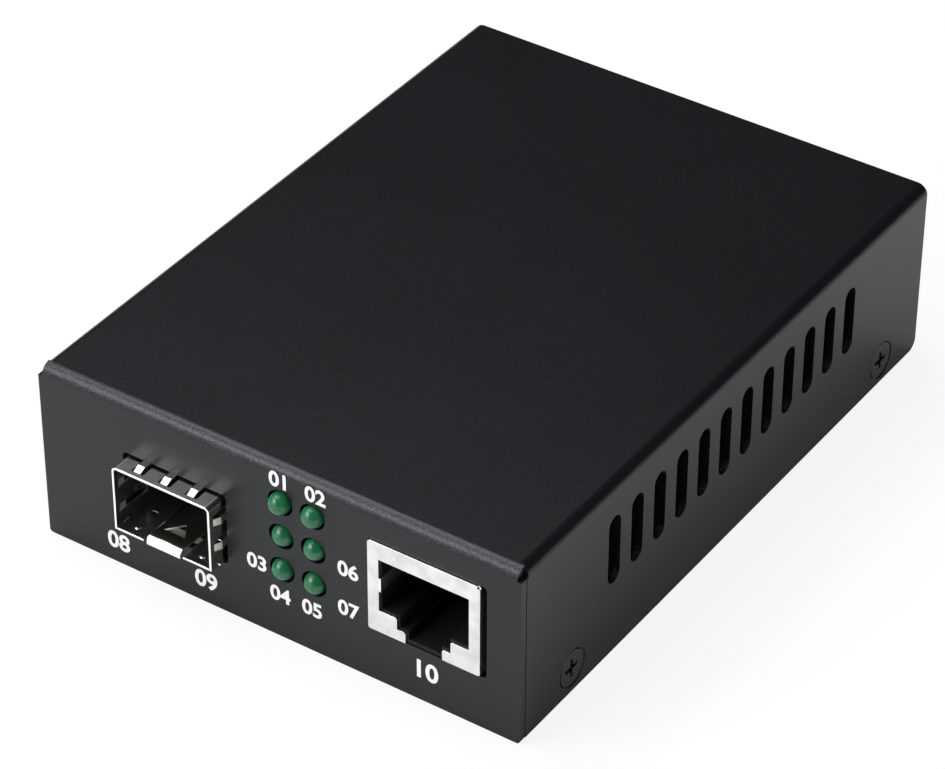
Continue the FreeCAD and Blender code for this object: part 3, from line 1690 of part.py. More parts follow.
parts = [
    top_cover(),
    base_tray(),
    cover_screws(),
    board_standoffs(),
    board_screws(),
    circuit_board(),
    sfp_cage_shell(),
    sfp_cage_floor(),
    sfp_connector(),
    sfp_contacts(),
    rj45_shield(),
    rj45_housing(),
    rj45_insert(),
    rj45_contacts(),
    led_leads(),
    dc_jack_housing(),
    dc_jack_pin(),
    dc_jack_spring(),
    dc_jack_terminal(),
    converter_chip(),
    memory_chip(),
    voltage_regulator(),
    lan_transformer(),
    transformer_pins(),
    crystal_can(),
    power_inductor(),
    chip_parts("chip_resistors", size.resistor_x, size.resistor_y, size.resistor_height),
    chip_parts("chip_capacitors", size.capacitor_x, size.capacitor_y, size.capacitor_height),
]
for name, sign in SIDES.items():
    parts.append(led_holder(name))
    parts.append(filter_capacitor(f"filter_capacitor_{name}", size.can_x + size.can_pitch / 2 * sign))
    for level, z in zip(LEVELS, lamp_rows):
        parts.append(lamp(name, level, z))

doc.recompute()


def check(thing):
    """Stops the build if FreeCAD left an object failed, or a cut removed nothing."""
    bad = {"Invalid", "Error"} & set(thing.State)
    if bad:
        raise RuntimeError(f"{thing.Name} is {', '.join(sorted(bad))}")
    if thing.TypeId in ("PartDesign::Pocket", "PartDesign::Groove"):
        if thing.BaseFeature.Shape.Volume - thing.Shape.Volume < 1e-6:
            raise RuntimeError(f"{thing.Name} cuts nothing")


for thing in doc.Objects:
    check(thing)
for part in parts:
    if part.Shape.isNull() or not part.Shape.isValid():
        raise RuntimeError(f"{part.Label} has no valid shape")

os.makedirs("parts", exist_ok=True)
for part in parts:
    part.Shape.exportStep(f"parts/{part.Label}.step")
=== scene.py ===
"""Fibre media converter: the looks of the small black metal box that joins a copper network
socket to an optical module cage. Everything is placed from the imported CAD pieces. Metres."""

import bmesh
import bpy
import math
from mathutils import Matrix, Quaternion, Vector


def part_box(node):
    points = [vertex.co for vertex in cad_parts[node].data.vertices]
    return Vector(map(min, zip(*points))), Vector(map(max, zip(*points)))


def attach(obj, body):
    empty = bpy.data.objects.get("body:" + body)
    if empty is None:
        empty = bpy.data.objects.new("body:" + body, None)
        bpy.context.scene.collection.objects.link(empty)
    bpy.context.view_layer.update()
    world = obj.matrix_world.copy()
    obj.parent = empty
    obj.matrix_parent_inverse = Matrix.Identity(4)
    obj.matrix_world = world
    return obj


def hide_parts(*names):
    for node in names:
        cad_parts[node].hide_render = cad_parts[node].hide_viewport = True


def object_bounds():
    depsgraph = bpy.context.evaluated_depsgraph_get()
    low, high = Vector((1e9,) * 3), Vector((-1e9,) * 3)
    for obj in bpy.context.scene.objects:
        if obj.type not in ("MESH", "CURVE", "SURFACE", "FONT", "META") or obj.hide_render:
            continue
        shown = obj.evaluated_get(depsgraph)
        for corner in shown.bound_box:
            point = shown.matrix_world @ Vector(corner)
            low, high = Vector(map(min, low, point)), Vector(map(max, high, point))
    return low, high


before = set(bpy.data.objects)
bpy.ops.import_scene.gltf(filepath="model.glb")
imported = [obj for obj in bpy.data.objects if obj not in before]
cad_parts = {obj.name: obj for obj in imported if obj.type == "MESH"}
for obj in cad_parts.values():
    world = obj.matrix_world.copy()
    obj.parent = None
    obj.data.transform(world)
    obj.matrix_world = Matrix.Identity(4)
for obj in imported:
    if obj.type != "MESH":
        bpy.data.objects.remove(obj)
bounds_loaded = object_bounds()
MM = 0.001


# ---------------------------------------------------------------- folded cover
# One sheet of steel folded down at the front and both sides, punched for the ports, lamps and
# vents, and powder coated black. The coat is a fine orange peel that lies thinner on cut edges.
class Wire:
    """A shader node's output. Sums written with wires become Math nodes."""

    def __init__(self, socket):
        self.socket = socket

    def node(self, kind, settings, *values, out=None, **named):
        """Adds any node: its settings first, as they change its inputs, then its values."""
        made = self.socket.id_data.nodes.new(kind)
        for name, setting in settings.items():
            setattr(made, name, setting)
        for socket, value in zip([s for s in made.inputs if s.enabled], values):
            feed(socket, value)
        for name, value in named.items():
            feed(made.inputs[name.replace("_", " ")], value)
        outputs = [s for s in made.outputs if s.enabled and out in (None, s.name)]
        return Wire(outputs[0])

    def maths(self, operation, *values):
        wires = [value for value in values if isinstance(value, Wire)]
        if any(wire.socket.type == "VECTOR" for wire in wires):
            return self.node("ShaderNodeVectorMath", {"operation": operation}, *values)
        return self.node("ShaderNodeMath", {"operation": operation}, *values)

    def __add__(self, other):
        return self.maths("ADD", self, other)

    def __sub__(self, other):
        return self.maths("SUBTRACT", self, other)

    def __mul__(self, other):
        return self.maths("MULTIPLY", self, other)

    def __rsub__(self, other):
        return self.maths("SUBTRACT", other, self)

    __radd__ = __add__
    __rmul__ = __mul__

    def size(self):
        """The number without its sign."""
        return self.maths("ABSOLUTE", self)

    def along(self, axis):
        """One part of a vector or a colour."""
        return self.node("ShaderNodeSeparateXYZ", {}, self, out=axis)

    def between(self, low, high):
        """0 where this is low and 1 where it is high, smooth from one to the other."""
        return self.node("ShaderNodeMapRange", {"interpolation_type": "SMOOTHSTEP"}, self, low, high)

    def mix(self, first, second):
        """The first colour where this is 0, the second where it is 1."""
        return self.node("ShaderNodeMix", {"data_type": "RGBA"}, self, first, second)


def feed(socket, value):
    """Gives an input another node's output, a number, a vector or a colour."""
    if isinstance(value, Wire):
        socket.id_data.links.new(value.socket, socket)
    elif socket.type == "RGBA":
        socket.default_value = (*value[:3], 1.0)
    elif socket.type == "VECTOR" and isinstance(value, (int, float)):
        socket.default_value = (value, value, value)
    else:
        socket.default_value = value


class Finish:
    """A material: the shader with its constants, and the textures that vary it."""

    def __init__(self, name, colour, roughness, **constants):
        self.material = bpy.data.materials.new(name)
        self.material.use_nodes = True
        nodes = self.material.node_tree.nodes
        self.shader = nodes["Principled BSDF"]
        places = nodes.new("ShaderNodeTexCoord")
        self.where = Wire(places.outputs["Object"]) * (1 / MM)
        self.facing = Wire(places.outputs["Normal"])
        self.vary(Base_Color=colour, Roughness=roughness, **constants)

    def vary(self, **inputs):
        """Gives the shader's inputs a texture or a new constant."""
        for name, value in inputs.items():
            feed(self.shader.inputs[name.replace("_", " ")], value)

    def noise(self, size, detail=2.0, stretch=(1, 1, 1)):
        """Soft noise from 0 to 1 in patches about size millimetres across."""
        where = self.where * tuple(part / size for part in stretch)
        return where.node("ShaderNodeTexNoise", {}, Vector=where, Scale=1.0, Detail=detail)

    def cells(self, spacing, out):
        """Scattered cells that many millimetres apart: how far from their middle, or a colour."""
        where = self.where * (1 / spacing)
        return where.node("ShaderNodeTexVoronoi", {}, out=out, Vector=where, Scale=1.0)

    def specks(self, spacing, size, share):
        """1 on scattered dots about size millimetres across and 0 elsewhere."""
        dots = self.cells(spacing, "Distance").between(size / spacing, 0.3 * size / spacing)
        chosen = self.cells(spacing, "Color").along("X").between(1 - share, 1.001 - share)
        return dots * chosen

    def mark(self, name):
        """What the mesh itself says of each corner, such as that it is on a rounded edge."""
        return self.where.node("ShaderNodeAttribute", {"attribute_name": name}, out="Fac")

    def relief(self, height):
        """Raises the surface by height, in millimetres."""
        self.vary(Normal=height.node("ShaderNodeBump", {}, Strength=1.0, Distance=MM, Height=height))


def powder_coat(name, colour, grain):
    """Baked black powder: fine grain on a slow orange peel, a little dust, thinner on edges and
    gritty over the front bend, where grey specks in the colour are a painted highlight."""
    coat = Finish(name, colour, 0.40, IOR=1.38, Specular_Tint=(0.92, 0.95, 1.0))
    fine = coat.noise(0.27, 4.0)
    peel = coat.noise(1.3, 2.0)
    cloud = coat.noise(24.0, 3.0)
    grit = coat.noise(0.15, 2.0)
    dust = coat.specks(2.6, 0.07, 0.10)
    edge = coat.mark("edge")
    front_bend = coat.facing.along("Y").size() * coat.facing.along("Z").size()
    pale = tuple(2.0 * part for part in colour)
    worn = (0.010, 0.010, 0.011)
    painted_bend_sparkle = (0.075, 0.075, 0.078)
    dusty = (0.32, 0.32, 0.31)
    tone = (fine * 0.35 + cloud * 0.25).mix(colour, pale)
    tone = (edge * fine.between(0.5, 0.8) * 0.5).mix(tone, worn)
    # Grey specks on the front bend: a painted highlight, the bend's sparkle put into the colour.
    tone = (grit.between(0.50, 0.62) * front_bend * 1.5).mix(tone, painted_bend_sparkle)
    coat.vary(Base_Color=(dust * 0.35).mix(tone, dusty))
    coat.vary(Roughness=0.25 + fine * 0.12 + cloud * 0.05)
    coat.relief(fine * grain + peel * (grain * 0.4) + grit * front_bend * (grain * 1.5))
    return coat


WELD = 0.002  # millimetres between corners that are one and the same
LEVEL = math.radians(0.3)  # faces this near to one plane become one face
CORNER = math.radians(30)  # an edge that turns by more than this is rounded off


def soft_copy(node, name, width, sheet=0.0, sharp=40, shaped=None):
    """The CAD piece again, welded, its sharp edges rounded off to that width and marked as
    edges. The cut faces of a stamping, no wider than its sheet, are marked too. shaped bends
    the mesh first, where the piece is under tension."""
    work = bmesh.new()
    work.from_mesh(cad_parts[node].data)
    for layer in list(work.loops.layers.uv):
        work.loops.layers.uv.remove(layer)
    bmesh.ops.remove_doubles(work, verts=work.verts, dist=WELD * MM)
    bmesh.ops.dissolve_limit(work, angle_limit=LEVEL, verts=work.verts, edges=work.edges)
    if shaped:
        shaped(work)
        work.normal_update()
    mark = work.loops.layers.float.new("edge")
    for face in work.faces:
        across = 2 * face.calc_area() / face.calc_perimeter()
        for corner in face.loops:
            corner[mark] = float(across < 1.05 * sheet * MM)
    rims = [edge for edge in work.edges if edge.is_manifold and edge.calc_face_angle() > CORNER]
    rounded = bmesh.ops.bevel(
        work,
        geom=rims,
        offset=width * MM,
        segments=2,
        profile=0.5,
        affect="EDGES",
        clamp_overlap=True,
    )
    for face in rounded["faces"]:
        for corner in face.loops:
            corner[mark] = 1.0
    bmesh.ops.recalc_face_normals(work, faces=work.faces)
    return finished(work, name, sharp)


LONE_FACES = 30  # degrees; with sharp edges from less than this, a bend's faces stand alone


def finished(work, name, sharp=40):
    """The mesh as an object, smooth but for its sharp edges. Its flats are kept flat, unless so
    many edges count as sharp that each face already stands alone."""
    mesh = bpy.data.meshes.new(name)
    work.normal_update()
    work.to_mesh(mesh)
    work.free()
    mesh.shade_smooth()
    mesh.set_sharp_from_angle(angle=math.radians(sharp))
    piece = bpy.data.objects.new(name, mesh)
    bpy.context.scene.collection.objects.link(piece)
    if sharp < LONE_FACES:
        return piece
    level = piece.modifiers.new("flats", "WEIGHTED_NORMAL")
    level.keep_sharp = True
    return settled(piece)


def settled(piece):
    """Turns what the modifiers make into the piece's own plain mesh."""
    bpy.context.view_layer.update()
    seen = piece.evaluated_get(bpy.context.evaluated_depsgraph_get())
    mesh = bpy.data.meshes.new_from_object(seen)
    mesh.name = piece.name
    piece.modifiers.clear()
    piece.data = mesh
    return piece


def fix(piece, finish, slot, *nodes):
    """Paints the piece, lets it ride on the box and stand for its CAD pieces."""
    piece.data.materials.clear()
    piece.data.materials.append(finish.material)
    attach(piece, "root")
    if nodes:
        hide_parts(*nodes)


COAT_BLACK = (0.0038, 0.0040, 0.0048)
COAT_GRAIN = 0.022  # millimetres from the coat's hollows to its tops
case_coat = powder_coat("case_coat", COAT_BLACK, COAT_GRAIN)
fix(soft_copy("top_cover", "folded_cover", 0.12), case_coat, "powder_coat", "top_cover")


# ---------------------------------------------------------------- bottom tray
# The lower half of the case: a shallow steel tray that slides inside the cover, with side
# flanges for the screws and a rear panel for the power socket. The same coat as the cover.
tray_coat = powder_coat("tray_coat", COAT_BLACK, COAT_GRAIN)
fix(soft_copy("base_tray", "bottom_tray", 0.10), tray_coat, "powder_coat", "base_tray")


# ---------------------------------------------------------------- cover screws
# Four countersunk steel screws, black oxide, turned flush into the side flaps. The driver has
# polished the rims of the cross recess.
oxide = Finish("black_oxide", (0.012, 0.012, 0.013), 0.34, Metallic=0.4, IOR=1.6)
oxide_grain = oxide.noise(0.22, 3.0)
oxide_edge = oxide.mark("edge")
oxide_worn = oxide_edge * oxide.noise(0.5, 2.0).between(0.35, 0.6)
oxide.vary(Base_Color=(oxide_worn * 0.5).mix((0.012, 0.012, 0.013), (0.16, 0.155, 0.15)))
oxide.vary(Roughness=0.28 + oxide_grain * 0.16)
oxide.relief(oxide_grain * 0.004)
fix(soft_copy("cover_screws", "countersunk_screws", 0.14), oxide, "screw_black", "cover_screws")


# ---------------------------------------------------------------- printed numbers
# Screen printed white ink on the front: a plain number beside each lamp and port. The ink
# stands a few hundredths of a millimetre proud and its edge is slightly soft.
FIGURE_TO_SIZE = 1.37  # type size over the height of a figure
STROKE_GAIN = 0.035  # how much the ink thickens each stroke, as a part of the height
INK_THICK = 0.015  # millimetres, half the layer of ink
INK_LIFT = 0.02  # millimetres from the panel to the middle of the ink


def printed(name, words, height, across, up):
    """Flat figures on the front panel, their middle at across, up in millimetres."""
    text = bpy.data.curves.new(name, "FONT")
    text.body = words
    text.size = height * FIGURE_TO_SIZE * MM
    text.offset = STROKE_GAIN * height * MM
    text.extrude = INK_THICK * MM
    text.align_x = "CENTER"
    text.align_y = "CENTER"
    text.resolution_u = 8
    drawn = bpy.data.objects.new(name, text)
    bpy.context.scene.collection.objects.link(drawn)
    bpy.context.view_layer.update()
    seen = drawn.evaluated_get(bpy.context.evaluated_depsgraph_get())
    mesh = bpy.data.meshes.new_from_object(seen)
    bpy.data.objects.remove(drawn)
    low = [min(vertex.co[axis] for vertex in mesh.vertices) for axis in (0, 1)]
    high = [max(vertex.co[axis] for vertex in mesh.vertices) for axis in (0, 1)]
    centre = Vector(((low[0] + high[0]) / 2, (low[1] + high[1]) / 2, 0.0))
    spot = Vector((across * MM, panel_face - INK_LIFT * MM, up * MM))
    upright = Matrix.Rotation(math.radians(90), 4, "X")
    mesh.transform(Matrix.Translation(spot) @ upright @ Matrix.Translation(-centre))
    return mesh


def middle(node):
    """The middle of a CAD piece's box."""
    low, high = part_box(node)
    return (low + high) / 2


panel_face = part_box("top_cover")[0].y
cage_middle = middle("sfp_cage_shell")
columns = (middle("led_left_high").x / MM, middle("led_right_high").x / MM)
top_row = middle("led_left_high").z / MM
bottom_row = middle("led_left_low").z / MM
cage_x = cage_middle.x / MM
socket_x = middle("rj45_shield").x / MM
# The figures, their height, and the place of their middle on the panel, in millimetres.
NUMBERS = [
    ("01", 2.2, columns[0] - 0.3, top_row + 3.3),
    ("02", 2.2, columns[1] + 0.5, top_row + 3.3),
    ("03", 2.2, columns[0] - 3.8, bottom_row - 0.5),
    ("04", 2.2, columns[0] - 0.4, bottom_row - 4.0),
    ("05", 2.2, columns[1] - 0.4, bottom_row - 4.0),
    ("06", 2.2, columns[1] + 5.0, bottom_row + 4.4),
    ("07", 2.2, columns[1] + 5.0, bottom_row - 1.6),
    ("08", 2.5, cage_x - 9.2, 3.4),
    ("09", 2.5, cage_x + 4.2, 3.5),
    ("10", 2.7, socket_x + 0.4, 4.8),
]
ink = Finish("white_ink", (0.86, 0.86, 0.85), 0.5)
ink_mottle = ink.noise(0.35, 3.0)
ink.vary(Base_Color=ink_mottle.mix((0.74, 0.74, 0.73), (0.92, 0.92, 0.91)))
ink.relief(ink_mottle * 0.003)
work = bmesh.new()
for words, height, across, up in NUMBERS:
    figures = printed(f"number_{words}", words, height, across, up)
    work.from_mesh(figures)
    bpy.data.meshes.remove(figures)
bmesh.ops.remove_doubles(work, verts=work.verts, dist=WELD / 2 * MM)
fix(finished(work, "printed_numbers"), ink, None)


# ---------------------------------------------------------------- optical module cage
# Nickel plated copper alloy, stamped and folded: a shell with spring fingers cut from its mouth
# and a floor with the latch tongue, held together by keys. Their edges carry a painted highlight.
def rolled_metal(name, colour, roughness, painted_edge_glint, lines=(0.15, 1.0, 1.0)):
    """Plated sheet with faint rolling lines, patches of tarnish and a painted highlight on its edges.
    """
    metal = Finish(name, colour, roughness, Metallic=1.0)
    grain = metal.noise(0.12, 3.0, lines)
    patch = metal.noise(2.5, 3.0)
    edge = metal.mark("edge")
    dull = tuple(0.82 * part for part in colour)
    tone = patch.between(0.35, 0.7).mix(colour, dull)
    # Painted highlight: the rounded edges and bare cut faces take the given near-white colour.
    metal.vary(Base_Color=edge.mix(tone, painted_edge_glint))
    metal.vary(Roughness=roughness - 0.06 + grain * 0.10 + patch * 0.06)
    metal.relief(grain * 0.0015 + patch * 0.004)
    return metal


PORT_SHEET = 0.3  # millimetres, the metal of the cage and of the socket's shield
CREST = 0.30  # millimetres that the roof's fingers stand above the roof
CREST_BESIDE = 0.38  # the same for the side fingers
OUTSIDE = 0.03  # further than this from the roof or a wall there is only a finger
KNEE_BACK = 2.1  # a finger's first knee is nearer to the mouth than this
CREST_BACK = 2.6  # and its crest nearer than this
KNEE_OUT, KNEE_FORWARD, CREST_OUT = 0.17, 0.22, 0.05  # how far each is bowed
WINDOW_FRONT, WINDOW_REAR = 0.7, 6.1  # the roof's windows, from the mouth
WINDOW_EDGES = (-2.85, 1.15, 5.15)  # their right edges, from the cage's middle
WINDOW_CLOSED = 0.25  # how far those edges come in


def sprung(work):
    """Bows each grounding finger out in front of the panel, where nothing presses on it, and
    closes up the windows beside the roof's fingers."""
    low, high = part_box("sfp_cage_shell")
    roof = high.z - CREST * MM
    wall = (high.x - low.x) / 2 - CREST_BESIDE * MM
    for vertex in work.verts:
        spot = vertex.co
        back = (spot.y - low.y) / MM
        above = spot.z - roof
        beside = abs(spot.x - cage_middle.x) - wall
        across = (spot.x - cage_middle.x) / MM
        on_edge = any(abs(across - edge) < 0.02 for edge in WINDOW_EDGES)
        in_roof = abs(above) < (PORT_SHEET + 0.02) * MM
        if on_edge and in_roof and WINDOW_FRONT < back < WINDOW_REAR:
            spot.x -= WINDOW_CLOSED * MM
        if back > CREST_BACK or max(above, beside) < OUTSIDE * MM:
            continue
        knee = back < KNEE_BACK
        lift = (KNEE_OUT if knee else CREST_OUT) * MM
        if knee:
            spot.y -= KNEE_FORWARD * MM
        if above > beside:
            spot.z += lift
        else:
            spot.x += math.copysign(lift, spot.x - cage_middle.x)


# A near-white colour: the painted highlight on the edges of the cage and its floor.
PAINTED_EDGE_GLINT = (0.97, 0.96, 0.94)
cage_metal = rolled_metal("cage_metal", (0.52, 0.50, 0.47), 0.22, PAINTED_EDGE_GLINT)
cage_shell = soft_copy("sfp_cage_shell", "cage_shell", 0.05, PORT_SHEET, 11, shaped=sprung)
fix(cage_shell, cage_metal, "nickel_sheet", "sfp_cage_shell")
# The floor's nickel is a lighter copy of the shell's, painted light so that its lip shows white.
painted_lit_nickel = rolled_metal("painted_lit_nickel", (0.96, 0.95, 0.93), 0.20, PAINTED_EDGE_GLINT)
cage_floor = soft_copy("sfp_cage_floor", "cage_floor", 0.05, PORT_SHEET)
fix(cage_floor, painted_lit_nickel, "nickel_sheet", "sfp_cage_floor")


# ---------------------------------------------------------------- mouldings and contacts inside
# Glass-filled black plastic: the edge connector in the cage, the copper socket's housing with its
# contact comb and the lamp holders. Their matte skin carries fine flow marks. Contacts are gold.
def moulding(name, colour, roughness, gloss=0.5):
    """Moulded plastic: a fine spark-eroded texture with slow flow marks."""
    plastic = Finish(name, colour, roughness, IOR=1.5, Specular_IOR_Level=gloss)
    fine = plastic.noise(0.09, 3.0)
    flow = plastic.noise(3.0, 2.0, (1.0, 0.35, 1.0))
    pale = tuple(1.9 * part for part in colour)
    plastic.vary(Base_Color=(fine * 0.5 + flow * 0.4).mix(colour, pale))
    plastic.vary(Roughness=roughness - 0.08 + fine * 0.12 + flow * 0.06)
    plastic.relief(fine * 0.003 + flow * 0.006)
    return plastic


black_plastic = moulding("black_plastic", (0.004, 0.004, 0.0043), 0.60, 0.22)
# The last colour is a painted highlight on the contacts' edges.
gold = rolled_metal("gold_flash", (0.80, 0.58, 0.24), 0.20, (0.95, 0.78, 0.42))
for node, name, width, finish, slot in (
    ("sfp_connector", "card_edge_connector", 0.08, black_plastic, "black_moulding"),
    ("rj45_housing", "socket_housing", 0.06, black_plastic, "black_moulding"),
    ("rj45_insert", "contact_comb", 0.04, black_plastic, "black_moulding"),
    ("sfp_contacts", "card_edge_contacts", 0.02, gold, "gold_contact"),
    ("rj45_contacts", "socket_contacts", 0.03, gold, "gold_contact"),
    ("led_holder_left", "lamp_holder_left", 0.08, black_plastic, "black_moulding"),
    ("led_holder_right", "lamp_holder_right", 0.08, black_plastic, "black_moulding"),
):
    fix(soft_copy(node, name, width), finish, slot, node)


# ---------------------------------------------------------------- copper socket shield
# Tin plated steel folded round the socket's housing and soldered to the board. A satin finish,
# slightly mottled, with a painted highlight on its rounded and cut edges.
SATIN_TIN = (0.80, 0.795, 0.78)
UPRIGHT_LINES = (1.0, 1.0, 0.2)
shield_metal = rolled_metal("shield_metal", SATIN_TIN, 0.34, (0.97, 0.97, 0.96), UPRIGHT_LINES)
shield = soft_copy("rj45_shield", "socket_shield", 0.07, PORT_SHEET)
fix(shield, shield_metal, "tinned_shield", "rj45_shield")


# ---------------------------------------------------------------- status lamps
# Six 3 mm lamps of diffused green epoxy, cast in one piece: a flange, a short barrel and a dome.
# Their leads bend down through the holder to the board.
FACETS = 40  # round a lamp


def turned(name, profile, tip):
    """A closed round piece that runs back from its tip. profile holds (distance back, radius)."""
    work = bmesh.new()
    rings = []
    for back, radius in profile:
        ring = []
        for step in range(FACETS if radius > 0 else 1):
            angle = math.tau * step / FACETS
            spot = Vector((radius * math.cos(angle), back, radius * math.sin(angle)))
            ring.append(work.verts.new(tip + spot * MM))
        rings.append(ring)
    for first, second in zip(rings, rings[1:]):
        for step in range(FACETS):
            following = (step + 1) % FACETS
            corners = [
                first[step % len(first)],
                first[following % len(first)],
                second[following % len(second)],
                second[step % len(second)],
            ]
            face = []
            for corner in corners:
                if corner not in face:
                    face.append(corner)
            work.faces.new(face)
    bmesh.ops.recalc_face_normals(work, faces=work.faces)
    return finished(work, name, 50)


cloudy = {"Subsurface_Weight": 0.25, "Subsurface_Scale": 0.0006}
resin = Finish("green_resin", (0.012, 0.13, 0.050), 0.20, IOR=1.5, **cloudy)
resin_haze = resin.noise(0.8, 3.0)
resin_pits = resin.noise(0.12, 2.0)
resin.vary(Base_Color=resin_haze.mix((0.008, 0.095, 0.038), (0.016, 0.16, 0.066)))
resin.vary(Roughness=0.13 + resin_pits * 0.12)
resin.relief(resin_pits * 0.0012 + resin_haze * 0.01)
FLANGE = 1.0  # millimetres, the flange's thickness
FLANGE_EDGE = 0.05  # rounding of its rim
FLANGE_STEP = 0.25  # from the barrel out to its rim
DOME_TURNS = [math.radians(7.5 * step) for step in range(13)]
for column in ("left", "right"):
    for row in ("low", "middle", "high"):
        node = f"led_{column}_{row}"
        low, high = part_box(node)
        length = (high.y - low.y) / MM
        flange = (high.x - low.x) / MM / 2
        barrel = flange - FLANGE_STEP
        tip = Vector(((low.x + high.x) / 2, low.y, (low.z + high.z) / 2))
        dome = [(barrel - barrel * math.cos(turn), barrel * math.sin(turn)) for turn in DOME_TURNS]
        flare = [
            (length - FLANGE - 0.12, barrel),
            (length - FLANGE, barrel + 0.06),
            (length - FLANGE + FLANGE_EDGE, flange),
        ]
        foot = [(length - FLANGE_EDGE, flange), (length, flange - FLANGE_EDGE), (length, 0.0)]
        fix(turned(f"lamp_{column}_{row}", dome + flare + foot, tip), resin, "green_lens", node)
# The last colour is a painted highlight on the edges.
tin = rolled_metal("tinned_lead", (0.74, 0.74, 0.73), 0.30, (0.88, 0.88, 0.87))
fix(soft_copy("led_leads", "lamp_leads", 0.04), tin, "tinned_lead", "led_leads")


# ---------------------------------------------------------------- circuit board
# Glass and epoxy laminate under green solder mask, with copper tracks beneath the mask and bare
# yellowish laminate at its cut edges.
gloss = {"Coat_Weight": 0.3, "Coat_Roughness": 0.2}
board_skin = Finish("solder_mask", (0.012, 0.10, 0.04), 0.30, IOR=1.5, **gloss)
turn = board_skin.cells(7.0, "Color").along("X").between(0.49, 0.51)
lines_x = board_skin.where.along("X").maths("PINGPONG", board_skin.where.along("X"), 0.4)
lines_y = board_skin.where.along("Y").maths("PINGPONG", board_skin.where.along("Y"), 0.4)
tracks = (turn * lines_x + (1 - turn) * lines_y).between(0.18, 0.22)
weave = board_skin.noise(0.5, 2.0)
mask_tone = tracks.mix((0.003, 0.018, 0.009), (0.006, 0.038, 0.018))
cut = board_skin.facing.along("Z").size().between(0.8, 0.4)
board_skin.vary(Base_Color=cut.mix(mask_tone, (0.40, 0.40, 0.34)))
board_skin.vary(Roughness=0.24 + weave * 0.14 + cut * 0.4)
board_skin.relief(tracks * 0.02 + weave * 0.004)
fix(soft_copy("circuit_board", "printed_board", 0.05), board_skin, "laminate", "circuit_board")


def ruled(name, rule, finish, points, faces, **sizes):
    """A piece that Geometry Nodes make. rule draws the tree from the points or faces that it
    starts on and its named sizes. The tree ends with real geometry that has its finish."""
    tree = bpy.data.node_groups.new(name, "GeometryNodeTree")
    tree.interface.new_socket("Geometry", in_out="INPUT", socket_type="NodeSocketGeometry")
    tree.interface.new_socket("Geometry", in_out="OUTPUT", socket_type="NodeSocketGeometry")
    keys = {}
    for size, value in sizes.items():
        kind = "NodeSocketInt" if isinstance(value, int) else "NodeSocketFloat"
        keys[size] = tree.interface.new_socket(size, in_out="INPUT", socket_type=kind).identifier
    given = {socket.name: Wire(socket) for socket in tree.nodes.new("NodeGroupInput").outputs}
    start = given["Geometry"]
    made = rule(start, *[given[size] for size in sizes])
    made = made.node("GeometryNodeRealizeInstances", {}, made)
    made = made.node("GeometryNodeSetShadeSmooth", {}, made)
    made = made.node("GeometryNodeSetMaterial", {}, Geometry=made, Material=finish.material)
    feed(tree.nodes.new("NodeGroupOutput").inputs[0], made)
    mesh = bpy.data.meshes.new(name)
    mesh.from_pydata(points, [], faces)
    piece = bpy.data.objects.new(name, mesh)
    bpy.context.scene.collection.objects.link(piece)
    modifier = piece.modifiers.new("rule", "NODES")
    modifier.node_group = tree
    for size, value in sizes.items():
        modifier[keys[size]] = value
    return settled(piece)


def fillets(start, pad, pin, height):
    """A fillet of solder round each pin, wide at the board and hollow towards the pin's end."""
    facets = {"Vertices": 20, "Side_Segments": 6}
    reach = {"Radius_Top": pad, "Radius_Bottom": pin, "Depth": height}
    cone = start.node("GeometryNodeMeshCone", {}, out="Mesh", **facets, **reach)
    spot = start.node("GeometryNodeInputPosition", {})
    rise = spot.along("Z")
    down = 1 - rise.maths("DIVIDE", rise, height)
    hollow = 1 - down * (1 - down) * 0.9
    around = (spot.along("X") * hollow, spot.along("Y") * hollow)
    round_pin = start.node("ShaderNodeCombineXYZ", {}, *around, rise)
    shaped = start.node("GeometryNodeSetPosition", {}, Geometry=cone, Position=round_pin)
    return start.node("GeometryNodeInstanceOnPoints", {}, Points=start, Instance=shaped)


def plated_holes(start, spacing, hole, ring, seed):
    """Small plated holes scattered over the board, none nearer to another than the spacing."""
    spots = start.node(
        "GeometryNodeDistributePointsOnFaces",
        {"distribute_method": "POISSON"},
        out="Points",
        Mesh=start,
        Distance_Min=spacing,
        Density_Max=60000.0,
        Seed=seed,
    )
    rim = start.node("GeometryNodeCurvePrimitiveCircle", {}, Resolution=16, Radius=hole)
    lip = start.node("GeometryNodeCurvePrimitiveCircle", {}, Resolution=6, Radius=ring)
    plated = start.node("GeometryNodeCurveToMesh", {}, Curve=rim, Profile_Curve=lip)
    return start.node("GeometryNodeInstanceOnPoints", {}, Points=spots, Instance=plated)


PIN_SHOWS = 0.2  # millimetres under the board, where only a pin's end can be
PIN_ACROSS = 1.0  # millimetres, more than the width of any pin


def pin_ends(height, *nodes):
    """Where the pins of the CAD pieces come out under the board, that height below it."""
    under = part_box("circuit_board")[0].z
    pins = []
    for node in nodes:
        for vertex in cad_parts[node].data.vertices:
            if vertex.co.z > under - PIN_SHOWS * MM:
                continue
            flat = Vector((vertex.co.x, vertex.co.y))
            near = [pin for pin in pins if (pin[0] - flat).length < PIN_ACROSS * MM]
            if near:
                near[0].append(flat)
            else:
                pins.append([flat])
    ends = []
    for pin in pins:
        low_x, high_x = min(spot.x for spot in pin), max(spot.x for spot in pin)
        low_y, high_y = min(spot.y for spot in pin), max(spot.y for spot in pin)
        ends.append(((low_x + high_x) / 2, (low_y + high_y) / 2, under - height * MM))
    return ends


# The last colour is a painted highlight on the edges.
solder = rolled_metal("solder", (0.70, 0.70, 0.69), 0.26, (0.80, 0.80, 0.79))
through_board = (
    "rj45_contacts",
    "rj45_shield",
    "led_leads",
    "sfp_cage_shell",
    "dc_jack_spring",
    "dc_jack_terminal",
)
PIN_END = 0.7  # millimetres of pin under the board
soldered = pin_ends(PIN_END, *through_board)
fillet_sizes = {"pad": 0.85 * MM, "pin": 0.36 * MM, "height": PIN_END * MM}
joints = ruled("solder_joints", fillets, solder, soldered, [], **fillet_sizes)
fix(joints, solder, "tinned_lead")

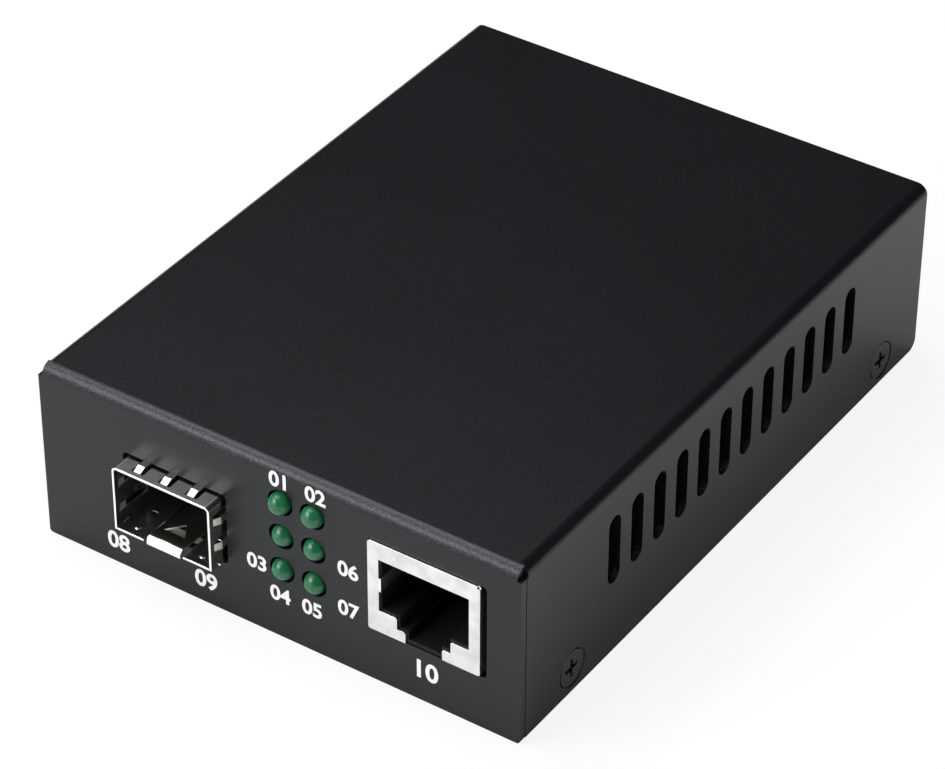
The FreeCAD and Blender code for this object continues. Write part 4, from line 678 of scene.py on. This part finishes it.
board_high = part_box("circuit_board")[1]
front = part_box("led_holder_left")[1].y + 4 * MM
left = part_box("sfp_cage_shell")[1].x + 2 * MM
right = board_high.x - 3 * MM
rear = board_high.y - 3 * MM
field = [(x, y, board_high.z) for x, y in ((left, front), (right, front), (right, rear), (left, rear))]
hole_sizes = {"spacing": 2.6 * MM, "hole": 0.26 * MM, "ring": 0.07 * MM, "seed": 11}
holes = ruled("plated_holes", plated_holes, solder, field, [(0, 1, 2, 3)], **hole_sizes)
fix(holes, solder, "tinned_lead")


# ---------------------------------------------------------------- parts on the board
# What the box needs to work: converter chip, memory, regulator, line transformer, crystal,
# inductor, two filter capacitors and rows of chip parts, soldered to the board.
package = moulding("chip_package", (0.022, 0.022, 0.024), 0.50)
for node in ("converter_chip", "memory_chip", "voltage_regulator", "lan_transformer"):
    fix(soft_copy(node, f"{node}_body", 0.06), package, "chip_package", node)
fix(soft_copy("transformer_pins", "transformer_legs", 0.03), tin, "tinned_lead", "transformer_pins")
fix(soft_copy("crystal_can", "crystal_case", 0.10), tin, "tinned_lead", "crystal_can")

core = Finish("ferrite", (0.035, 0.034, 0.033), 0.62)
core_grain = core.noise(0.14, 4.0)
core.vary(Base_Color=core_grain.mix((0.022, 0.021, 0.021), (0.060, 0.058, 0.056)))
core.relief(core_grain * 0.012)
fix(soft_copy("power_inductor", "inductor_core", 0.10), core, "ferrite", "power_inductor")


def winding(start, turns, radius, rise, wire):
    """Enamelled wire wound in one layer round the core's waist."""
    coiled = {"Rotations": turns, "Start_Radius": radius, "End_Radius": radius, "Height": rise}
    path = start.node("GeometryNodeCurveSpiral", {}, Resolution=32, **coiled)
    section = start.node("GeometryNodeCurvePrimitiveCircle", {}, Resolution=10, Radius=wire)
    coil = start.node("GeometryNodeCurveToMesh", {}, Curve=path, Profile_Curve=section, Fill_Caps=True)
    return start.node("GeometryNodeInstanceOnPoints", {}, Points=start, Instance=coil)


enamel = Finish("copper_enamel", (0.42, 0.13, 0.04), 0.28, Metallic=0.8)
enamel.vary(Base_Color=enamel.noise(0.5, 2.0).mix((0.34, 0.10, 0.03), (0.50, 0.17, 0.06)))
enamel.vary(Roughness=0.24 + enamel.noise(0.2, 2.0) * 0.12)
core_low, core_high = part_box("power_inductor")
core_middle = middle("power_inductor")
coil_foot = (core_middle.x, core_middle.y, core_middle.z - 0.9 * MM)
waist = (core_high.x - core_low.x) / 2 * 0.80
coil_sizes = {"turns": 6.0, "radius": waist, "rise": 1.6 * MM, "wire": 0.13 * MM}
wound = ruled("inductor_winding", winding, enamel, [coil_foot], [], **coil_sizes)
fix(wound, enamel, None)

# The last colour is a painted highlight on the cans' edges.
drawn_can = rolled_metal("drawn_can", (0.76, 0.77, 0.78), 0.32, (0.9, 0.9, 0.9))
for side in ("left", "right"):
    node = f"filter_capacitor_{side}"
    fix(soft_copy(node, f"capacitor_{side}", 0.10), drawn_can, "can_aluminium", node)

bead = Finish("ceramic", (0.20, 0.15, 0.10), 0.45)
bead_grain = bead.noise(0.2, 3.0)
bead.vary(Base_Color=bead_grain.mix((0.13, 0.095, 0.06), (0.26, 0.20, 0.14)))
bead.relief(bead_grain * 0.004)
fix(soft_copy("chip_capacitors", "ceramic_capacitors", 0.05), bead, "ceramic", "chip_capacitors")
resistors = soft_copy("chip_resistors", "thick_film_resistors", 0.05)
fix(resistors, package, "chip_package", "chip_resistors")


# ---------------------------------------------------------------- power socket
# The low-voltage inlet: a black moulding with a round bore, its centre pin, and the spring and
# terminal that go down into the board.
jack = soft_copy("dc_jack_housing", "power_socket_body", 0.10)
fix(jack, black_plastic, "black_moulding", "dc_jack_housing")
for node, name in (
    ("dc_jack_pin", "centre_pin"),
    ("dc_jack_spring", "sleeve_spring"),
    ("dc_jack_terminal", "pin_terminal"),
):
    fix(soft_copy(node, name, 0.05), tin, "tinned_lead", node)


# ---------------------------------------------------------------- standoffs and board screws
# Turned standoffs pressed into the tray, with their ends flush underneath, and pan head screws
# with a round driver recess that hold the board down. Both are zinc plated steel.
# The last colour is a painted highlight on the edges.
zinc = rolled_metal("zinc_plate", (0.60, 0.61, 0.62), 0.28, (0.80, 0.81, 0.82))
fix(soft_copy("board_standoffs", "pressed_standoffs", 0.10), zinc, "zinc", "board_standoffs")
fix(soft_copy("board_screws", "pan_head_screws", 0.08), zinc, "zinc", "board_screws")


# ---------------------------------------------------------------- floor, light and camera
# A pale floor that keeps the box's shadow, a soft overhead and a fill at the right that the
# coat doesn't mirror, four soft boxes at the upper left and front that it does, and the camera.
low, high = bounds_loaded
floor_mesh = bpy.data.meshes.new("floor")
level = low.z - 0.05 * MM
REACH = 4  # metres from the middle to each edge
edges = ((-REACH, -REACH), (REACH, -REACH), (REACH, REACH), (-REACH, REACH))
floor_mesh.from_pydata([(x, y, level) for x, y in edges], [], [(0, 1, 2, 3)])
floor = bpy.data.objects.new("floor", floor_mesh)
bpy.context.scene.collection.objects.link(floor)
paper = bpy.data.materials.new("paper")
paper.use_nodes = True
paper_nodes = paper.node_tree.nodes
paper_nodes.clear()
output = paper_nodes.new("ShaderNodeOutputMaterial")
rays = paper_nodes.new("ShaderNodeLightPath")
matt = paper_nodes.new("ShaderNodeBsdfDiffuse")
matt.inputs["Color"].default_value = (0.82, 0.82, 0.82, 1.0)
glow = paper_nodes.new("ShaderNodeEmission")
WHITENED = 0.86  # how far the floor shows white instead of lit paper
blend = paper_nodes.new("ShaderNodeMixShader")
feed(blend.inputs["Fac"], Wire(rays.outputs["Is Camera Ray"]) * WHITENED)
paper.node_tree.links.new(matt.outputs["BSDF"], blend.inputs[1])
paper.node_tree.links.new(glow.outputs["Emission"], blend.inputs[2])
paper.node_tree.links.new(blend.outputs["Shader"], output.inputs["Surface"])
floor_mesh.materials.append(paper)

room = bpy.data.worlds.new("room")
room.use_nodes = True
room_light = room.node_tree.nodes["Background"]
room_rays = room.node_tree.nodes.new("ShaderNodeLightPath")
room_seen = Wire(room_rays.outputs["Is Camera Ray"])
feed(room_light.inputs["Color"], room_seen.mix((0.030, 0.030, 0.032), (1.0, 1.0, 1.0)))
bpy.context.scene.world = room

# Each: direction, metres from the object's middle, width, height, watts, seen in the coat.
for name, towards, distance, width, height, power, mirrored in (
    ("overhead", (-0.05, 0.10, 0.95), 1.1, 1.0, 1.0, 3.8, False),
    ("right_fill", (0.75, -0.15, 0.60), 1.0, 0.8, 0.8, 3.2, False),
    ("high_strip", (-0.447, 0.22, 0.87), 0.9, 0.50, 0.20, 2.5, True),
    ("wide_panel", (-0.447, -0.20, 0.80), 0.95, 0.50, 1.10, 4.4, True),
    ("front_strip", (-0.447, -0.665, 0.60), 0.9, 0.50, 0.38, 4.4, True),
    ("front_fill", (-0.48, -0.85, 0.26), 1.1, 1.2, 0.5, 3.2, True),
):
    lamp = bpy.data.lights.new(name, "AREA")
    lamp.shape = "RECTANGLE"
    lamp.size = width
    lamp.size_y = height
    lamp.energy = power
    fitted = bpy.data.objects.new(name, lamp)
    away = Vector(towards).normalized()
    fitted.location = (low + high) / 2 + away * distance
    fitted.rotation_euler = away.to_track_quat("Z", "Y").to_euler()
    fitted.visible_glossy = mirrored
    bpy.context.scene.collection.objects.link(fitted)

azimuth = math.radians(34.051)
elevation = math.radians(37.048)
roll = math.radians(0.168)
level_back = Vector((math.sin(azimuth), -math.cos(azimuth), 0.0))
back = level_back * math.cos(elevation) + Vector((0.0, 0.0, math.sin(elevation)))
camera_data = bpy.data.cameras.new("camera")
camera_data.sensor_width = 36.0
camera_data.lens = 153.13
camera_data.clip_start = 0.01
camera = bpy.data.objects.new("camera", camera_data)
camera.rotation_mode = "QUATERNION"
camera.rotation_quaternion = back.to_track_quat("Z", "Y") @ Quaternion((0, 0, 1), roll)
camera.location = (0.225338, -0.338683, 0.31539)
bpy.context.scene.collection.objects.link(camera)
bpy.context.scene.camera = camera

bpy.context.scene.view_settings.view_transform = "Standard"
